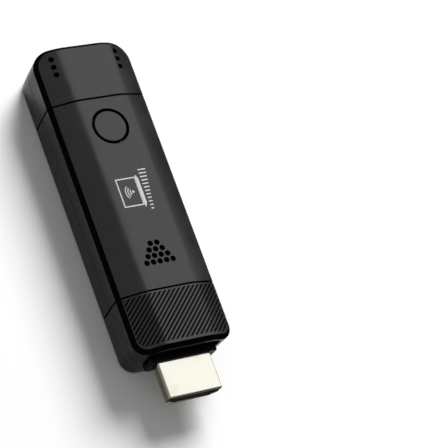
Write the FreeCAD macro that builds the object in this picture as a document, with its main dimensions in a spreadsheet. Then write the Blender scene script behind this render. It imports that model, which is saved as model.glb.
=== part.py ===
import FreeCAD, Part
import math
import os
import re
import Sketcher
from FreeCAD import Rotation, Vector

# Stick-shaped video transmitter: a plug at the -Y end, a faceted casing in six pieces,
# a round push button on top, and the circuit board that carries everything inside.
# +Z is up, +X is right and the plug points along -Y. The origin is the middle of the
# whole object's length and width, on the surface that it lies on. Sizes are in mm.

DIMENSIONS = {
    # Casing outline
    "front_cap_length": 14.4,
    "middle_length": 48.9,
    "rear_cap_length": 14.85,
    "body_height": 14.3,
    "parting_height": 6.5,
    "rim_width": 25.5,
    "rim_drop": 2.05,
    "parting_draw": 0.35,
    "bottom_draw": 0.625,
    "front_corner": 3.5,
    "rear_corner": 4.8,
    "flat_width": 11.8,
    "fold_radius": 12.0,
    "edge_band": 1.0,
    "bottom_round": 1.2,
    "parting_bevel": 0.12,
    "seam_width": 0.45,
    "seam_depth": 0.5,
    # Casing walls
    "side_wall": 1.4,
    "floor_wall": 1.4,
    "top_wall": 1.6,
    "shoulder_wall": 3.1,
    "channel_width": 15.0,
    "front_wall": 2.0,
    "rear_wall": 1.6,
    "front_hollow_corner": 1.2,
    "rear_hollow_corner": 2.2,
    "lip_reach": 1.4,
    "lip_wall": 0.8,
    "fit_gap": 0.06,
    # Ribbed grip on the front cap
    "grip_side_margin": 1.15,
    "grip_seam_margin": 0.825,
    "grip_front_margin": 1.65,
    "grip_corner": 2.2,
    "rib_pitch": 0.855,
    "rib_groove": 0.4,
    "rib_phase": 0.155,
    "rib_depth": 0.3,
    "rib_angle": 43.5,
    # Round holes in the top
    "grille_hole": 1.35,
    "grille_pitch": 1.7,
    "grille_row_pitch": 1.54,
    "grille_offset": 6.35,
    "vent_hole": 1.3,
    "vent_inset": 4.35,
    "vent_pitch": 2.03,
    "vent_offset": 2.9,
    # Plug and its collar
    "plug_reach": 10.1,
    "plug_width": 13.9,
    "plug_height": 4.45,
    "plug_side": 2.7,
    "plug_base_width": 9.5,
    "plug_wall": 0.3,
    "plug_round": 0.3,
    "plug_drop": 7.515,
    "plug_tail": 4.25,
    "plug_leg_reach": 3.0,
    "insulator_setback": 0.5,
    "slot_width": 11.4,
    "slot_depth": 8.5,
    "contact_width": 0.4,
    "contact_thickness": 0.2,
    "contact_pitch": 1.0,
    "contact_setback": 1.2,
    "contact_tail": 2.5,
    "collar_reach": 1.3,
    "collar_side_wall": 1.5,
    "collar_top_wall": 0.65,
    "collar_bottom_wall": 0.4,
    "collar_bevel": 0.7,
    "collar_flange": 0.7,
    "recess_depth": 0.8,
    "recess_beside": 0.65,
    "recess_above": 2.6,
    "recess_clear": 0.2,
    "recess_shoulder": 3.6,
    "recess_round": 1.2,
    # Button and switch
    "button_diameter": 8.0,
    "button_gap": 0.5,
    "button_offset": 7.425,
    "button_bevel": 0.15,
    "button_travel": 0.3,
    "flange_rim": 1.2,
    "flange_thickness": 0.8,
    "stop_gap": 0.3,
    "guide_gap": 0.2,
    "guide_wall": 0.8,
    "guide_depth": 2.2,
    "plunger_diameter": 3.2,
    "switch_width": 4.5,
    "switch_height": 2.1,
    "switch_cavity_gap": 0.2,
    "switch_cavity_depth": 1.5,
    "switch_frame": 0.2,
    "switch_total": 3.3,
    "stem_diameter": 2.4,
    "stem_flange": 3.0,
    "stem_flange_thickness": 0.5,
    "dome_rest": 0.15,
    "dome_thickness": 0.1,
    "terminal_width": 0.7,
    "terminal_reach": 0.6,
    "terminal_thickness": 0.2,
    # Circuit board
    "board_side_gap": 1.0,
    "board_thickness": 1.6,
    "board_front_gap": 1.0,
    "board_rear_gap": 0.8,
    "board_corner": 2.5,
    "board_lip_gap": 0.25,
    "post_diameter": 3.6,
    "post_inset": 1.8,
    "post_front_offset": 3.2,
    "post_rear_offset": 3.4,
    "screw_diameter": 1.6,
    "screw_length": 5.0,
    "screw_head": 3.0,
    "screw_head_height": 1.1,
    "screw_clearance": 0.4,
    "drive_width": 0.4,
    "drive_span": 1.8,
    "drive_depth": 0.5,
    # Chips on the board, each placed from the front seam
    "driver_width": 5.0,
    "driver_length": 5.0,
    "driver_height": 0.9,
    "driver_place": -1.5,
    "light_width": 0.8,
    "light_length": 1.6,
    "light_height": 0.7,
    "light_spacing": 3.6,
    "light_place": 8.6,
    "processor_width": 12.0,
    "processor_length": 12.0,
    "processor_height": 1.2,
    "processor_place": 18.4,
    "pad_thickness": 0.5,
    "spreader_width": 14.0,
    "spreader_length": 13.0,
    "spreader_thickness": 1.0,
    "spreader_groove": 0.5,
    "capacitor_width": 0.8,
    "capacitor_length": 1.6,
    "capacitor_height": 0.8,
    "capacitor_pitch": 2.4,
    "crystal_width": 3.2,
    "crystal_length": 2.5,
    "crystal_height": 0.8,
    "crystal_inset": 3.0,
    "regulator_width": 4.0,
    "regulator_length": 4.0,
    "regulator_height": 1.0,
    # Parts placed from the switch and the rear end
    "memory_width": 7.5,
    "memory_length": 9.0,
    "memory_height": 1.0,
    "flash_width": 5.0,
    "flash_length": 6.0,
    "flash_height": 1.6,
    "chip_side_gap": 1.0,
    "inductor_width": 4.0,
    "inductor_height": 2.0,
    "inductor_core": 2.6,
    "inductor_inset": 2.7,
    "radio_width": 11.0,
    "radio_length": 8.6,
    "radio_board": 0.8,
    "radio_gap": 0.5,
    "can_height": 1.4,
    "can_wall": 0.2,
    "can_margin": 0.4,
    "radio_chip_width": 6.0,
    "radio_chip_height": 0.9,
    "antenna_width": 2.0,
    "antenna_length": 7.0,
    "antenna_height": 1.0,
    "antenna_inset": 1.6,
    "antenna_place": 5.2,
    # Power socket at the rear end
    "socket_width": 8.94,
    "socket_height": 3.16,
    "socket_wall": 0.3,
    "socket_length": 7.3,
    "socket_setback": 0.3,
    "socket_slot_gap": 0.1,
    "socket_block": 1.8,
    "tongue_width": 6.69,
    "tongue_thickness": 0.7,
    "tongue_setback": 0.8,
    "socket_contact_width": 0.25,
    "socket_contact_pitch": 0.5,
    "socket_contact_thickness": 0.06,
    "socket_contact_length": 3.6,
}

GRILLE_LONGEST_ROW = 5
GRILLE_ROWS = 4
VENTS_PER_SIDE = 3
UPPER_CONTACTS = 10
LOWER_CONTACTS = 9
SOCKET_CONTACTS = 12
SPREADER_GROOVES = 4
CAPACITORS_PER_ROW = 5
REACH = "100"
OVER = "1"
NEAR = 0.01
STEEP = 0.2

# Stations along Y, heights and widths that several pieces share
BODY_LENGTH = "(front_cap_length + middle_length + rear_cap_length)"
FRONT = f"((plug_reach - {BODY_LENGTH}) / 2)"
REAR = f"((plug_reach + {BODY_LENGTH}) / 2)"
TIP = f"(-(plug_reach + {BODY_LENGTH}) / 2)"
FRONT_SEAM = f"({FRONT} + front_cap_length)"
REAR_SEAM = f"({REAR} - rear_cap_length)"
CEILING = "(body_height - top_wall)"
SHOULDER = "(body_height - shoulder_wall)"
ABOVE = f"(body_height + {OVER})"
PARTING_WIDTH = "(rim_width - 2 * parting_draw)"
BOTTOM_WIDTH = f"({PARTING_WIDTH} - 2 * bottom_draw)"
INNER_WIDTH = f"({PARTING_WIDTH} - 2 * side_wall)"
FLOOR_WIDTH = f"({BOTTOM_WIDTH} - 2 * side_wall)"
PLUG_CENTRE = "(body_height - plug_drop)"
PLUG_TOP = f"({PLUG_CENTRE} + plug_height / 2)"
PLUG_BOTTOM = f"({PLUG_CENTRE} - plug_height / 2)"
COLLAR_WIDTH = "(plug_width + 2 * collar_side_wall)"
PLUG_END = f"({FRONT} + plug_tail)"
BOARD_TOP = f"({PLUG_CENTRE} + board_thickness / 2)"
BOARD_BOTTOM = f"({PLUG_CENTRE} - board_thickness / 2)"
BOARD_WIDTH = f"({INNER_WIDTH} - 2 * board_side_gap)"
BOARD_FRONT = f"({PLUG_END} + board_front_gap)"
BOARD_REAR = f"({REAR} - rear_wall - board_rear_gap)"
BUTTON_Y = f"({REAR_SEAM} - button_offset)"
FLANGE_TOP = f"({CEILING} - stop_gap)"
FLANGE_BOTTOM = f"({FLANGE_TOP} - flange_thickness)"
FLANGE_RADIUS = "(button_diameter / 2 + flange_rim)"
SWITCH_TOP = f"({BOARD_TOP} + switch_height)"
STEM_TOP = f"({BOARD_TOP} + switch_total)"
CAVITY_WIDTH = "(stem_flange + 2 * switch_cavity_gap)"
CAVITY_FLOOR = f"({SWITCH_TOP} - switch_cavity_depth)"
DOME_RISE = "(button_travel + dome_rest)"
DOME_TOP = f"({CAVITY_FLOOR} + {DOME_RISE})"
SOCKET_CENTRE = f"({BOARD_TOP} + socket_height / 2)"
SOCKET_MOUTH = f"({REAR} - socket_setback)"
SOCKET_END = f"({SOCKET_MOUTH} - socket_length)"
POST_X = f"({BOARD_WIDTH} / 2 - post_inset)"
POST_PLACES = (f"({FRONT_SEAM} + post_front_offset)", f"({REAR_SEAM} - post_rear_offset)")
SIDES = (-1, 1)

doc = FreeCAD.newDocument("transmitter_stick")
sheet = doc.addObject("Spreadsheet::Sheet", "dims")
for row, (alias, size) in enumerate(DIMENSIONS.items(), start=1):
    sheet.set(f"A{row}", alias)
    sheet.set(f"B{row}", str(size))
    sheet.setAlias(f"B{row}", alias)
doc.recompute()

nodes = {}


def bind(text):
    """The expression with each driving dimension's name pointed at the sheet."""
    def cell(match):
        word = match.group()
        return "dims." + word if word in DIMENSIONS else word
    return re.sub(r"[a-z_]+", cell, str(text))


def drive(thing, **sizes):
    """Bind properties of an object to expressions of the driving dimensions."""
    for name, text in sizes.items():
        thing.setExpression(name.replace("__", "."), bind(text))
    return thing


def place(thing, x="0", y="0", z="0"):
    return drive(thing, Placement__Base__x=x, Placement__Base__y=y, Placement__Base__z=z)


def keep(label, thing):
    """Register an object as the sub-part that its label names."""
    thing.Label = label
    nodes[label] = thing
    return thing


def box(name, low, high):
    """A box from its low corner to its high corner, both as expressions."""
    made = doc.addObject("Part::Box", name)
    place(made, *low)
    spans = [f"({top}) - ({base})" for base, top in zip(low, high)]
    return drive(made, Length=spans[0], Width=spans[1], Height=spans[2])


def block(name, width, length, height, x, y, z):
    """A box centred on x and y that stands on height z."""
    made = doc.addObject("Part::Box", name)
    place(made, f"{x} - ({width}) / 2", f"{y} - ({length}) / 2", z)
    return drive(made, Length=width, Width=length, Height=height)


def disc(name, diameter, low, high, x, y):
    """An upright cylinder between two heights."""
    made = doc.addObject("Part::Cylinder", name)
    place(made, x, y, low)
    return drive(made, Radius=f"({diameter}) / 2", Height=f"({high}) - ({low})")


def cut(name, base, *tools):
    """A piece with one or more tools cut away."""
    tool = tools[0] if len(tools) == 1 else join(name + "_tools", *tools)
    made = doc.addObject("Part::Cut", name)
    made.Base = base
    made.Tool = tool
    return made


def join(name, *pieces):
    made = doc.addObject("Part::MultiFuse", name)
    made.Shapes = list(pieces)
    made.Refine = True
    return made


def overlap(name, *pieces):
    made = doc.addObject("Part::MultiCommon", name)
    made.Shapes = list(pieces)
    return made


def group(name, pieces):
    """Separate solids that share one sub-part."""
    made = doc.addObject("Part::Compound", name)
    made.Links = list(pieces)
    return made


def body_plane(body, role):
    return next(f for f in body.Origin.OriginFeatures if f.Role == role)


def outline(body, role, points, offset):
    """A closed sketch through points given as expressions on one of the body's planes."""
    sketch = body.newObject("Sketcher::SketchObject", body.Name + "_outline")
    sketch.AttachmentSupport = [(body_plane(body, role), "")]
    sketch.MapMode = "FlatFace"
    drive(sketch, AttachmentOffset__Base__z=offset)
    total = len(points)
    turns = [2 * math.pi * step / total for step in range(total + 1)]
    corners = [Vector(math.cos(turn), math.sin(turn), 0) for turn in turns]
    for first, second in zip(corners, corners[1:]):
        sketch.addGeometry(Part.LineSegment(first, second))
    for line in range(total):
        sketch.addConstraint(Sketcher.Constraint("Coincident", line, 2, (line + 1) % total, 1))
    for line, pair in enumerate(points):
        for kind, text in zip(("DistanceX", "DistanceY"), pair):
            index = sketch.addConstraint(Sketcher.Constraint(kind, -1, 1, line, 1, 1.0))
            sketch.setExpression(f"Constraints[{index}]", bind(text))
    return sketch


def prism(name, role, points, offset, length):
    body = doc.addObject("PartDesign::Body", name)
    pad_profile = outline(body, role, points, offset)
    pad = body.newObject("PartDesign::Pad", name + "_pad")
    pad.Profile = pad_profile
    drive(pad, Length=length)
    return body


def prism_y(name, points, start, end):
    """A body with the X-Z outline given, running along Y from start to end."""
    return prism(name, "XZ_Plane", points, f"-({end})", f"({end}) - ({start})")


def prism_z(name, points, low, high):
    """A body with the X-Y outline given, running along Z from low to high."""
    return prism(name, "XY_Plane", points, low, f"({high}) - ({low})")


def edges_where(shape, test):
    return [f"Edge{i}" for i, edge in enumerate(shape.Edges, start=1) if test(edge)]


def round_edges(body, test, radius, kind="Fillet"):
    """Round or chamfer the edges of a body that pass the test."""
    doc.recompute()
    tip = body.Tip
    feature = body.newObject(f"PartDesign::{kind}", f"{body.Name}_{kind.lower()}")
    feature.Base = (tip, edges_where(tip.Shape, test))
    drive(feature, **{"Radius" if kind == "Fillet" else "Size": radius})
    return feature


def size_of(alias):
    return DIMENSIONS[alias]


def middle(edge):
    return edge.CenterOfMass


def is_upright(edge):
    return abs(edge.tangentAt(edge.FirstParameter).z) > math.cos(math.radians(30))


def runs_along_y(edge):
    return abs(edge.tangentAt(edge.FirstParameter).y) > math.cos(math.radians(1))


def mirrored(right):
    """The same points on the other side, in the order that closes the outline."""
    return [(f"-({x})", height) for x, height in reversed(right)]


def corner_rectangle(width, start, end):
    half = f"({width}) / 2"
    return [(f"-{half}", start), (half, start), (half, end), (f"-{half}", end)]


def round_corners(body, front, rear):
    """Round the upright corners at the plug's end and at the rear end."""
    for radius, at_front in ((front, True), (rear, False)):
        round_edges(body, lambda e: is_upright(e) and (middle(e).y < 0) == at_front, radius)


# Outer form of the upper half: facets on top, a bright band round the top edge
def make_upper_blank():
    right = [(f"{PARTING_WIDTH} / 2", "parting_height"),
             ("rim_width / 2", "body_height - rim_drop"), ("flat_width / 2", "body_height")]
    body = prism_y("upper_blank", right + mirrored(right), FRONT, REAR)
    round_corners(body, "front_corner", "rear_corner")
    top = size_of("body_height")
    round_edges(body, lambda e: runs_along_y(e) and abs(middle(e).z - top) < NEAR, "fold_radius")
    doc.recompute()
    walls = [face for face in body.Tip.Shape.Faces
             if abs(face.normalAt(*face_middle(face)).z) < STEEP]
    rim = top - size_of("rim_drop") - NEAR

    def on_rim(edge):
        return middle(edge).z > rim and not is_upright(edge) and any(
            edge.isSame(other) for wall in walls for other in wall.Edges)
    round_edges(body, on_rim, "edge_band", "Chamfer")
    parting = size_of("parting_height")
    round_edges(body, lambda e: abs(middle(e).z - parting) < NEAR, "parting_bevel", "Chamfer")
    return body


def face_middle(face):
    first, last, low, high = face.ParameterRange
    return (first + last) / 2, (low + high) / 2


# Outer form of the lower half: a flat underside with rounded edges
def make_lower_blank():
    right = [(f"{BOTTOM_WIDTH} / 2", "0"), (f"{PARTING_WIDTH} / 2", "parting_height")]
    body = prism_y("lower_blank", right + mirrored(right), FRONT, REAR)
    round_corners(body, "front_corner", "rear_corner")
    parting = size_of("parting_height")
    round_edges(body, lambda e: abs(middle(e).z) < NEAR, "bottom_round")
    round_edges(body, lambda e: abs(middle(e).z - parting) < NEAR, "parting_bevel", "Chamfer")
    return body


# The section that is left inside the seam grooves
def make_seam_core():
    low = f"{BOTTOM_WIDTH} / 2"
    rim = "(body_height - rim_drop)"
    side = f"({PARTING_WIDTH} / 2 - seam_depth)"
    right = [
        (f"{low} - bottom_round", "seam_depth"),
        (f"{low} - seam_depth", "bottom_round"),
        (side, "parting_height"),
        (side, f"{rim} - edge_band - seam_depth / 2"),
        ("rim_width / 2 - edge_band - seam_depth / 2", f"{rim} - seam_depth / 2"),
        ("flat_width / 2", "body_height - seam_depth"),
    ]
    return prism_y("seam_core", right + mirrored(right), FRONT, REAR)


def make_seam_cutter(name, start, end):
    slab = box(name + "_slab", (f"-{REACH}", start, f"-{REACH}"), (REACH, end, REACH))
    return cut(name, slab, seam_core)


def make_cavity(upper):
    """The hollow of the upper or lower half, from wall to wall."""
    width = INNER_WIDTH if upper else FLOOR_WIDTH
    start = f"({FRONT} + front_wall)"
    end = f"({REAR} - rear_wall)"
    low, high = ("0", SHOULDER) if upper else ("floor_wall", "body_height")
    name = "upper_hollow" if upper else "lower_hollow"
    body = prism_z(name, corner_rectangle(width, start, end), low, high)
    round_corners(body, "front_hollow_corner", "rear_hollow_corner")
    if not upper:
        return body
    channel = box("channel", ("-channel_width / 2", f"{start} + edge_band", "0"),
                  ("channel_width / 2", f"{end} - edge_band", CEILING))
    return join("upper_hollows", body, channel)


def make_lip(name, upper, seam, outward):
    """The lip of the middle shell that a cap slides over."""
    width = INNER_WIDTH if upper else FLOOR_WIDTH
    gap = "fit_gap"
    inside = f"{seam} - ({outward}) * lip_reach"
    outside = f"{seam} + ({outward}) * lip_reach"
    parts = []
    for tag, clearance, first, last in (("_root", "0", inside, seam),
                                        ("_nose", gap, seam, outside)):
        start, end = (first, last) if outward > 0 else (last, first)
        half = f"({width} / 2 - {clearance})"
        if upper:
            low, high = "parting_height", f"{SHOULDER} - {clearance}"
            inner_low, inner_high = "0", f"{high} - lip_wall"
        else:
            low = f"(floor_wall + {clearance})"
            high = f"(min({BOARD_BOTTOM}; parting_height) - board_lip_gap)"
            inner_low, inner_high = f"({low} + lip_wall)", "body_height"
        outer = box(name + tag, (f"-{half}", start, low), (half, end, high))
        inner = box(name + tag + "_bore", (f"-({half} - lip_wall)", f"({start}) - {OVER}", inner_low),
                    (f"({half} - lip_wall)", f"({end}) + {OVER}", inner_high))
        parts.append(cut(name + tag + "_ring", outer, inner))
    return join(name, *parts)


def plug_outline(inset):
    """The plug's outline, wider at the top, drawn in by an inset."""
    half = f"(plug_width / 2 - {inset})"
    side = f"({PLUG_TOP} - plug_side + ({inset}) / 2)"
    base = f"(plug_base_width / 2 - ({inset}) / 3)"
    top = f"({PLUG_TOP} - {inset})"
    bottom = f"({PLUG_BOTTOM} + {inset})"
    right = [(base, bottom), (half, side), (half, top)]
    return right + mirrored(right)


def bevelled_outline(width, low, high, bevel):
    """A rectangle whose two lower corners are cut off."""
    half = f"({width}) / 2"
    right = [(f"{half} - {bevel}", low), (half, f"{low} + {bevel}"), (half, high)]
    return right + mirrored(right)


def make_front_openings():
    """The shallow recess round the plug's base, and the way through the front wall."""
    low = f"({PLUG_BOTTOM} - collar_bottom_wall)"
    near, far = f"({COLLAR_WIDTH} / 2 + recess_clear)", f"({COLLAR_WIDTH} / 2 + recess_beside)"
    right = [(f"{near} - collar_bevel", f"{low} - recess_clear"),
             (near, f"{low} + collar_bevel"), (far, f"{low} + recess_shoulder"),
             (far, f"{PLUG_TOP} + collar_top_wall + recess_above")]
    recess = prism_y("recess", right + mirrored(right),
                     f"({FRONT} - {OVER})", f"({FRONT} + recess_depth)")
    doc.recompute()
    ceiling = recess.Shape.BoundBox.ZMax - NEAR
    round_edges(recess, lambda e: runs_along_y(e) and middle(e).z > ceiling, "recess_round")
    passage = prism_y("passage", bevelled_outline(
        f"({COLLAR_WIDTH} + 2 * fit_gap)", f"({PLUG_BOTTOM} - collar_bottom_wall - fit_gap)",
        f"({PLUG_TOP} + collar_top_wall + fit_gap)", "collar_bevel"),
        f"({FRONT} - {OVER})", f"({FRONT} + front_wall + {OVER})")
    return join("front_openings", recess, passage)


# Grooves of the grip, cut a fixed depth below the faceted top
def make_grip_grooves():
    start = f"({FRONT} + grip_front_margin)"
    end = f"({FRONT_SEAM} - grip_seam_margin)"
    width = "(rim_width - 2 * grip_side_margin)"
    field = prism_z("grip_field", corner_rectangle(width, start, end), "0", "body_height")
    round_edges(field, lambda e: is_upright(e) and middle(e).y < middle_of(field).y, "grip_corner")
    depth = size_of("front_cap_length") - size_of("grip_front_margin") - size_of("grip_seam_margin")
    lean = math.radians(size_of("rib_angle"))
    across = size_of("rim_width") - 2 * size_of("grip_side_margin")
    span = across * math.sin(lean) + depth * math.cos(lean)
    count = math.ceil(span / size_of("rib_pitch") / 2) + 1
    slabs = []
    for step in range(-count, count + 1):
        slab = doc.addObject("Part::Box", "groove")
        slab.Placement.Rotation = Rotation(Vector(0, 0, 1), size_of("rib_angle"))
        along = f"({step} * rib_pitch + rib_phase - rib_groove / 2)"
        reach = "(rim_width + front_cap_length)"
        middle_y = f"({start} + {end}) / 2"
        place(slab, f"-sin(rib_angle) * {along} - cos(rib_angle) * {reach} / 2",
              f"{middle_y} + cos(rib_angle) * {along} - sin(rib_angle) * {reach} / 2", "0")
        slabs.append(drive(slab, Length=reach, Width="rib_groove", Height="body_height"))
    strips = overlap("groove_strips", group("groove_slabs", slabs), field)
    right = [("rim_width / 2", f"-{OVER}"), ("rim_width / 2", "body_height - rib_depth - rim_drop"),
             ("flat_width / 2", "body_height - rib_depth")]
    under = prism_y("grip_floor", right + mirrored(right), FRONT, FRONT_SEAM)
    return cut("grip_grooves", strips, under)


def middle_of(body):
    return body.Shape.BoundBox.Center


def make_grille():
    holes = []
    for row in range(GRILLE_ROWS):
        count = GRILLE_LONGEST_ROW - row
        for step in range(count):
            holes.append(disc("grille_hole", "grille_hole", SHOULDER, ABOVE,
                              f"({2 * step - count + 1}) * grille_pitch / 2",
                              f"({FRONT_SEAM} + grille_offset + {row} * grille_row_pitch)"))
    return join("grille_holes", *holes)


def make_vents():
    return join("vent_holes", *[
        disc("vent_hole", "vent_hole", f"({SHOULDER} - {OVER})", ABOVE,
             f"{side} * (rim_width / 2 - vent_inset)", f"({REAR} - vent_offset - {step} * vent_pitch)")
        for side in SIDES for step in range(VENTS_PER_SIDE)])


def stadium(name, width, height, start, end):
    """A bar along Y with round sides, centred on the socket's height."""
    radius = f"({height}) / 2"
    core = box(name + "_core", (f"-(({width}) / 2 - {radius})", start, f"({SOCKET_CENTRE} - {radius})"),
               (f"(({width}) / 2 - {radius})", end, f"({SOCKET_CENTRE} + {radius})"))
    sides = []
    for side in SIDES:
        rod = doc.addObject("Part::Cylinder", name + "_side")
        rod.Placement.Rotation = Rotation(Vector(1, 0, 0), -90)
        place(rod, f"{side} * (({width}) / 2 - {radius})", start, SOCKET_CENTRE)
        sides.append(drive(rod, Radius=radius, Height=f"({end}) - ({start})"))
    return join(name, core, *sides)


def section(blank, name, start, end):
    slab = box(name + "_span", (f"-{REACH}", start, f"-{REACH}"), (REACH, end, REACH))
    return overlap(name, blank, slab)


upper_blank = make_upper_blank()
lower_blank = make_lower_blank()
seam_core = make_seam_core()
upper_hollow = make_cavity(True)
lower_hollow = make_cavity(False)
front_groove = make_seam_cutter("front_groove", f"({FRONT_SEAM} - seam_width)", FRONT_SEAM)
rear_groove = make_seam_cutter("rear_groove", REAR_SEAM, f"({REAR_SEAM} + seam_width)")
front_openings = make_front_openings()

# Front cap
keep("front_cap_upper", cut(
    "front_upper", section(upper_blank, "front_upper_blank", f"({FRONT} - {OVER})", FRONT_SEAM),
    upper_hollow, front_groove, front_openings, make_grip_grooves()))
keep("front_cap_lower", cut(
    "front_lower", section(lower_blank, "front_lower_blank", f"({FRONT} - {OVER})", FRONT_SEAM),
    lower_hollow, front_groove, front_openings))

# Middle shells, with the lips that the caps slide over
button_hole = disc("button_hole", "button_diameter + 2 * button_gap", SHOULDER, ABOVE,
                   "0", BUTTON_Y)
hole_bevel = doc.addObject("Part::Cone", "button_hole_bevel")
place(hole_bevel, "0", BUTTON_Y, "body_height - button_bevel")
drive(hole_bevel, Radius1="button_diameter / 2 + button_gap",
      Radius2="button_diameter / 2 + button_gap + 2 * button_bevel", Height="2 * button_bevel")
guide_bore = disc("guide_bore", f"2 * ({FLANGE_RADIUS} + guide_gap)",
                  f"({CEILING} - guide_depth - {OVER})", CEILING, "0", BUTTON_Y)
guide_ring = cut("guide_ring", disc(
    "guide_outer", f"2 * ({FLANGE_RADIUS} + guide_gap + guide_wall)",
    f"({CEILING} - guide_depth)", f"({CEILING} + top_wall / 4)", "0", BUTTON_Y), guide_bore)
upper_middle = cut("upper_middle_hollowed", section(
    upper_blank, "upper_middle_blank", FRONT_SEAM, REAR_SEAM), upper_hollow)
keep("upper_shell", cut("upper_middle", join(
    "upper_middle_whole", upper_middle, guide_ring,
    make_lip("upper_front_lip", True, FRONT_SEAM, -1),
    make_lip("upper_rear_lip", True, REAR_SEAM, 1)),
    button_hole, hole_bevel, guide_bore, make_grille()))

posts = [disc("post", "post_diameter", "floor_wall / 2", BOARD_BOTTOM,
              f"{side} * {POST_X}", y) for side in SIDES for y in POST_PLACES]
pilots = [disc("pilot", "screw_diameter + 0.5 * fit_gap", f"({BOARD_TOP} - screw_length - fit_gap)",
               "body_height", f"{side} * {POST_X}", y)
          for side in SIDES for y in POST_PLACES]
lower_middle = cut("lower_middle_hollowed", section(
    lower_blank, "lower_middle_blank", FRONT_SEAM, REAR_SEAM), lower_hollow)
keep("lower_shell", cut("lower_middle", join(
    "lower_middle_whole", lower_middle, *posts,
    make_lip("lower_front_lip", False, FRONT_SEAM, -1),
    make_lip("lower_rear_lip", False, REAR_SEAM, 1)), *pilots))

# Rear cap, with the way in for the power socket
socket_opening = stadium("socket_opening", "socket_width + 2 * socket_slot_gap",
                         "socket_height + 2 * socket_slot_gap",
                         f"({REAR} - rear_wall - {OVER})", f"({REAR} + {OVER})")
keep("rear_cap_upper", cut(
    "rear_upper", section(upper_blank, "rear_upper_blank", REAR_SEAM, f"({REAR} + {OVER})"),
    upper_hollow, rear_groove, make_vents(), socket_opening))
keep("rear_cap_lower", cut(
    "rear_lower", section(lower_blank, "rear_lower_blank", REAR_SEAM, f"({REAR} + {OVER})"),
    lower_hollow, rear_groove, socket_opening))

# Push button: a cap with a flange under the casing's wall and a plunger on the switch
button_top = disc("button_top", "button_diameter", FLANGE_BOTTOM,
                  "(body_height - button_bevel)", "0", BUTTON_Y)
button_edge = doc.addObject("Part::Cone", "button_edge")
place(button_edge, "0", BUTTON_Y, "body_height - button_bevel")
drive(button_edge, Radius1="button_diameter / 2", Radius2="button_diameter / 2 - button_bevel",
      Height="button_bevel")
button_flange = disc("button_flange", f"2 * {FLANGE_RADIUS}", FLANGE_BOTTOM, FLANGE_TOP,
                     "0", BUTTON_Y)
plunger = disc("plunger", "plunger_diameter", STEM_TOP, FLANGE_TOP, "0", BUTTON_Y)
keep("button_cap", join("button", button_top, button_edge, button_flange, plunger))

# Tactile switch under the button
switch_block = block("switch_block", "switch_width", "switch_width", "switch_height",
                     "0", BUTTON_Y, BOARD_TOP)
switch_well = disc("switch_well", CAVITY_WIDTH, CAVITY_FLOOR, f"({SWITCH_TOP} + {OVER})",
                   "0", BUTTON_Y)
keep("switch_base", cut("switch_base_cut", switch_block, switch_well))
frame_plate = block("frame_plate", "switch_width", "switch_width", "switch_frame",
                    "0", BUTTON_Y, SWITCH_TOP)
frame_hole = disc("frame_hole", "stem_diameter + 2 * fit_gap", f"({SWITCH_TOP} - {OVER})",
                  f"({SWITCH_TOP} + switch_frame + {OVER})", "0", BUTTON_Y)
keep("switch_frame_plate", cut("switch_frame_cut", frame_plate, frame_hole))
stem_rod = disc("stem_rod", "stem_diameter", DOME_TOP, STEM_TOP, "0", BUTTON_Y)
stem_disc = disc("stem_disc", "stem_flange", DOME_TOP, f"({DOME_TOP} + stem_flange_thickness)",
                 "0", BUTTON_Y)
keep("switch_stem", join("stem", stem_rod, stem_disc))


def make_dome():
    """A thin spherical cap that stands on the switch's floor."""
    radius = f"((stem_flange / 2) * (stem_flange / 2) / (2 * {DOME_RISE}) + {DOME_RISE} / 2)"
    shells = []
    for tag, inset in (("outer", "0"), ("inner", "dome_thickness")):
        ball = doc.addObject("Part::Sphere", f"dome_{tag}")
        place(ball, "0", BUTTON_Y, f"{DOME_TOP} - {radius}")
        shells.append(drive(ball, Radius=f"{radius} - {inset}"))
    slab = disc("dome_span", CAVITY_WIDTH, CAVITY_FLOOR, f"({DOME_TOP} + {OVER})", "0", BUTTON_Y)
    return overlap("dome", cut("dome_shell", *shells), slab)


keep("switch_dome", make_dome())
keep("switch_terminals", group("terminals", [
    block("terminal", "terminal_reach", "terminal_width", "terminal_thickness",
          f"{side} * (switch_width + terminal_reach) / 2",
          f"({BUTTON_Y} + ({end}) * (switch_width - terminal_width) / 2)", BOARD_TOP)
    for side in SIDES for end in SIDES]))

# Plug: a formed metal tube, the insulator inside it, and two rows of contacts
plug_tube = prism_y("plug_tube", plug_outline("0"), TIP, PLUG_END)
round_edges(plug_tube, runs_along_y, "plug_round")
plug_bore = prism_y("plug_bore", plug_outline("plug_wall"), f"({TIP} - {OVER})",
                   f"({PLUG_END} + {OVER})")
legs = [box("plug_leg", (f"({side} * (plug_width - plug_wall) / 2 - plug_wall / 2)",
                         f"({PLUG_END} - plug_wall)", BOARD_TOP),
            (f"({side} * (plug_width - plug_wall) / 2 + plug_wall / 2)",
             f"({BOARD_FRONT} + plug_leg_reach)", f"({PLUG_TOP} - 2 * plug_round)"))
        for side in SIDES]
keep("plug_shell", join("plug", cut("plug_open", plug_tube, plug_bore), *legs))

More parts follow.
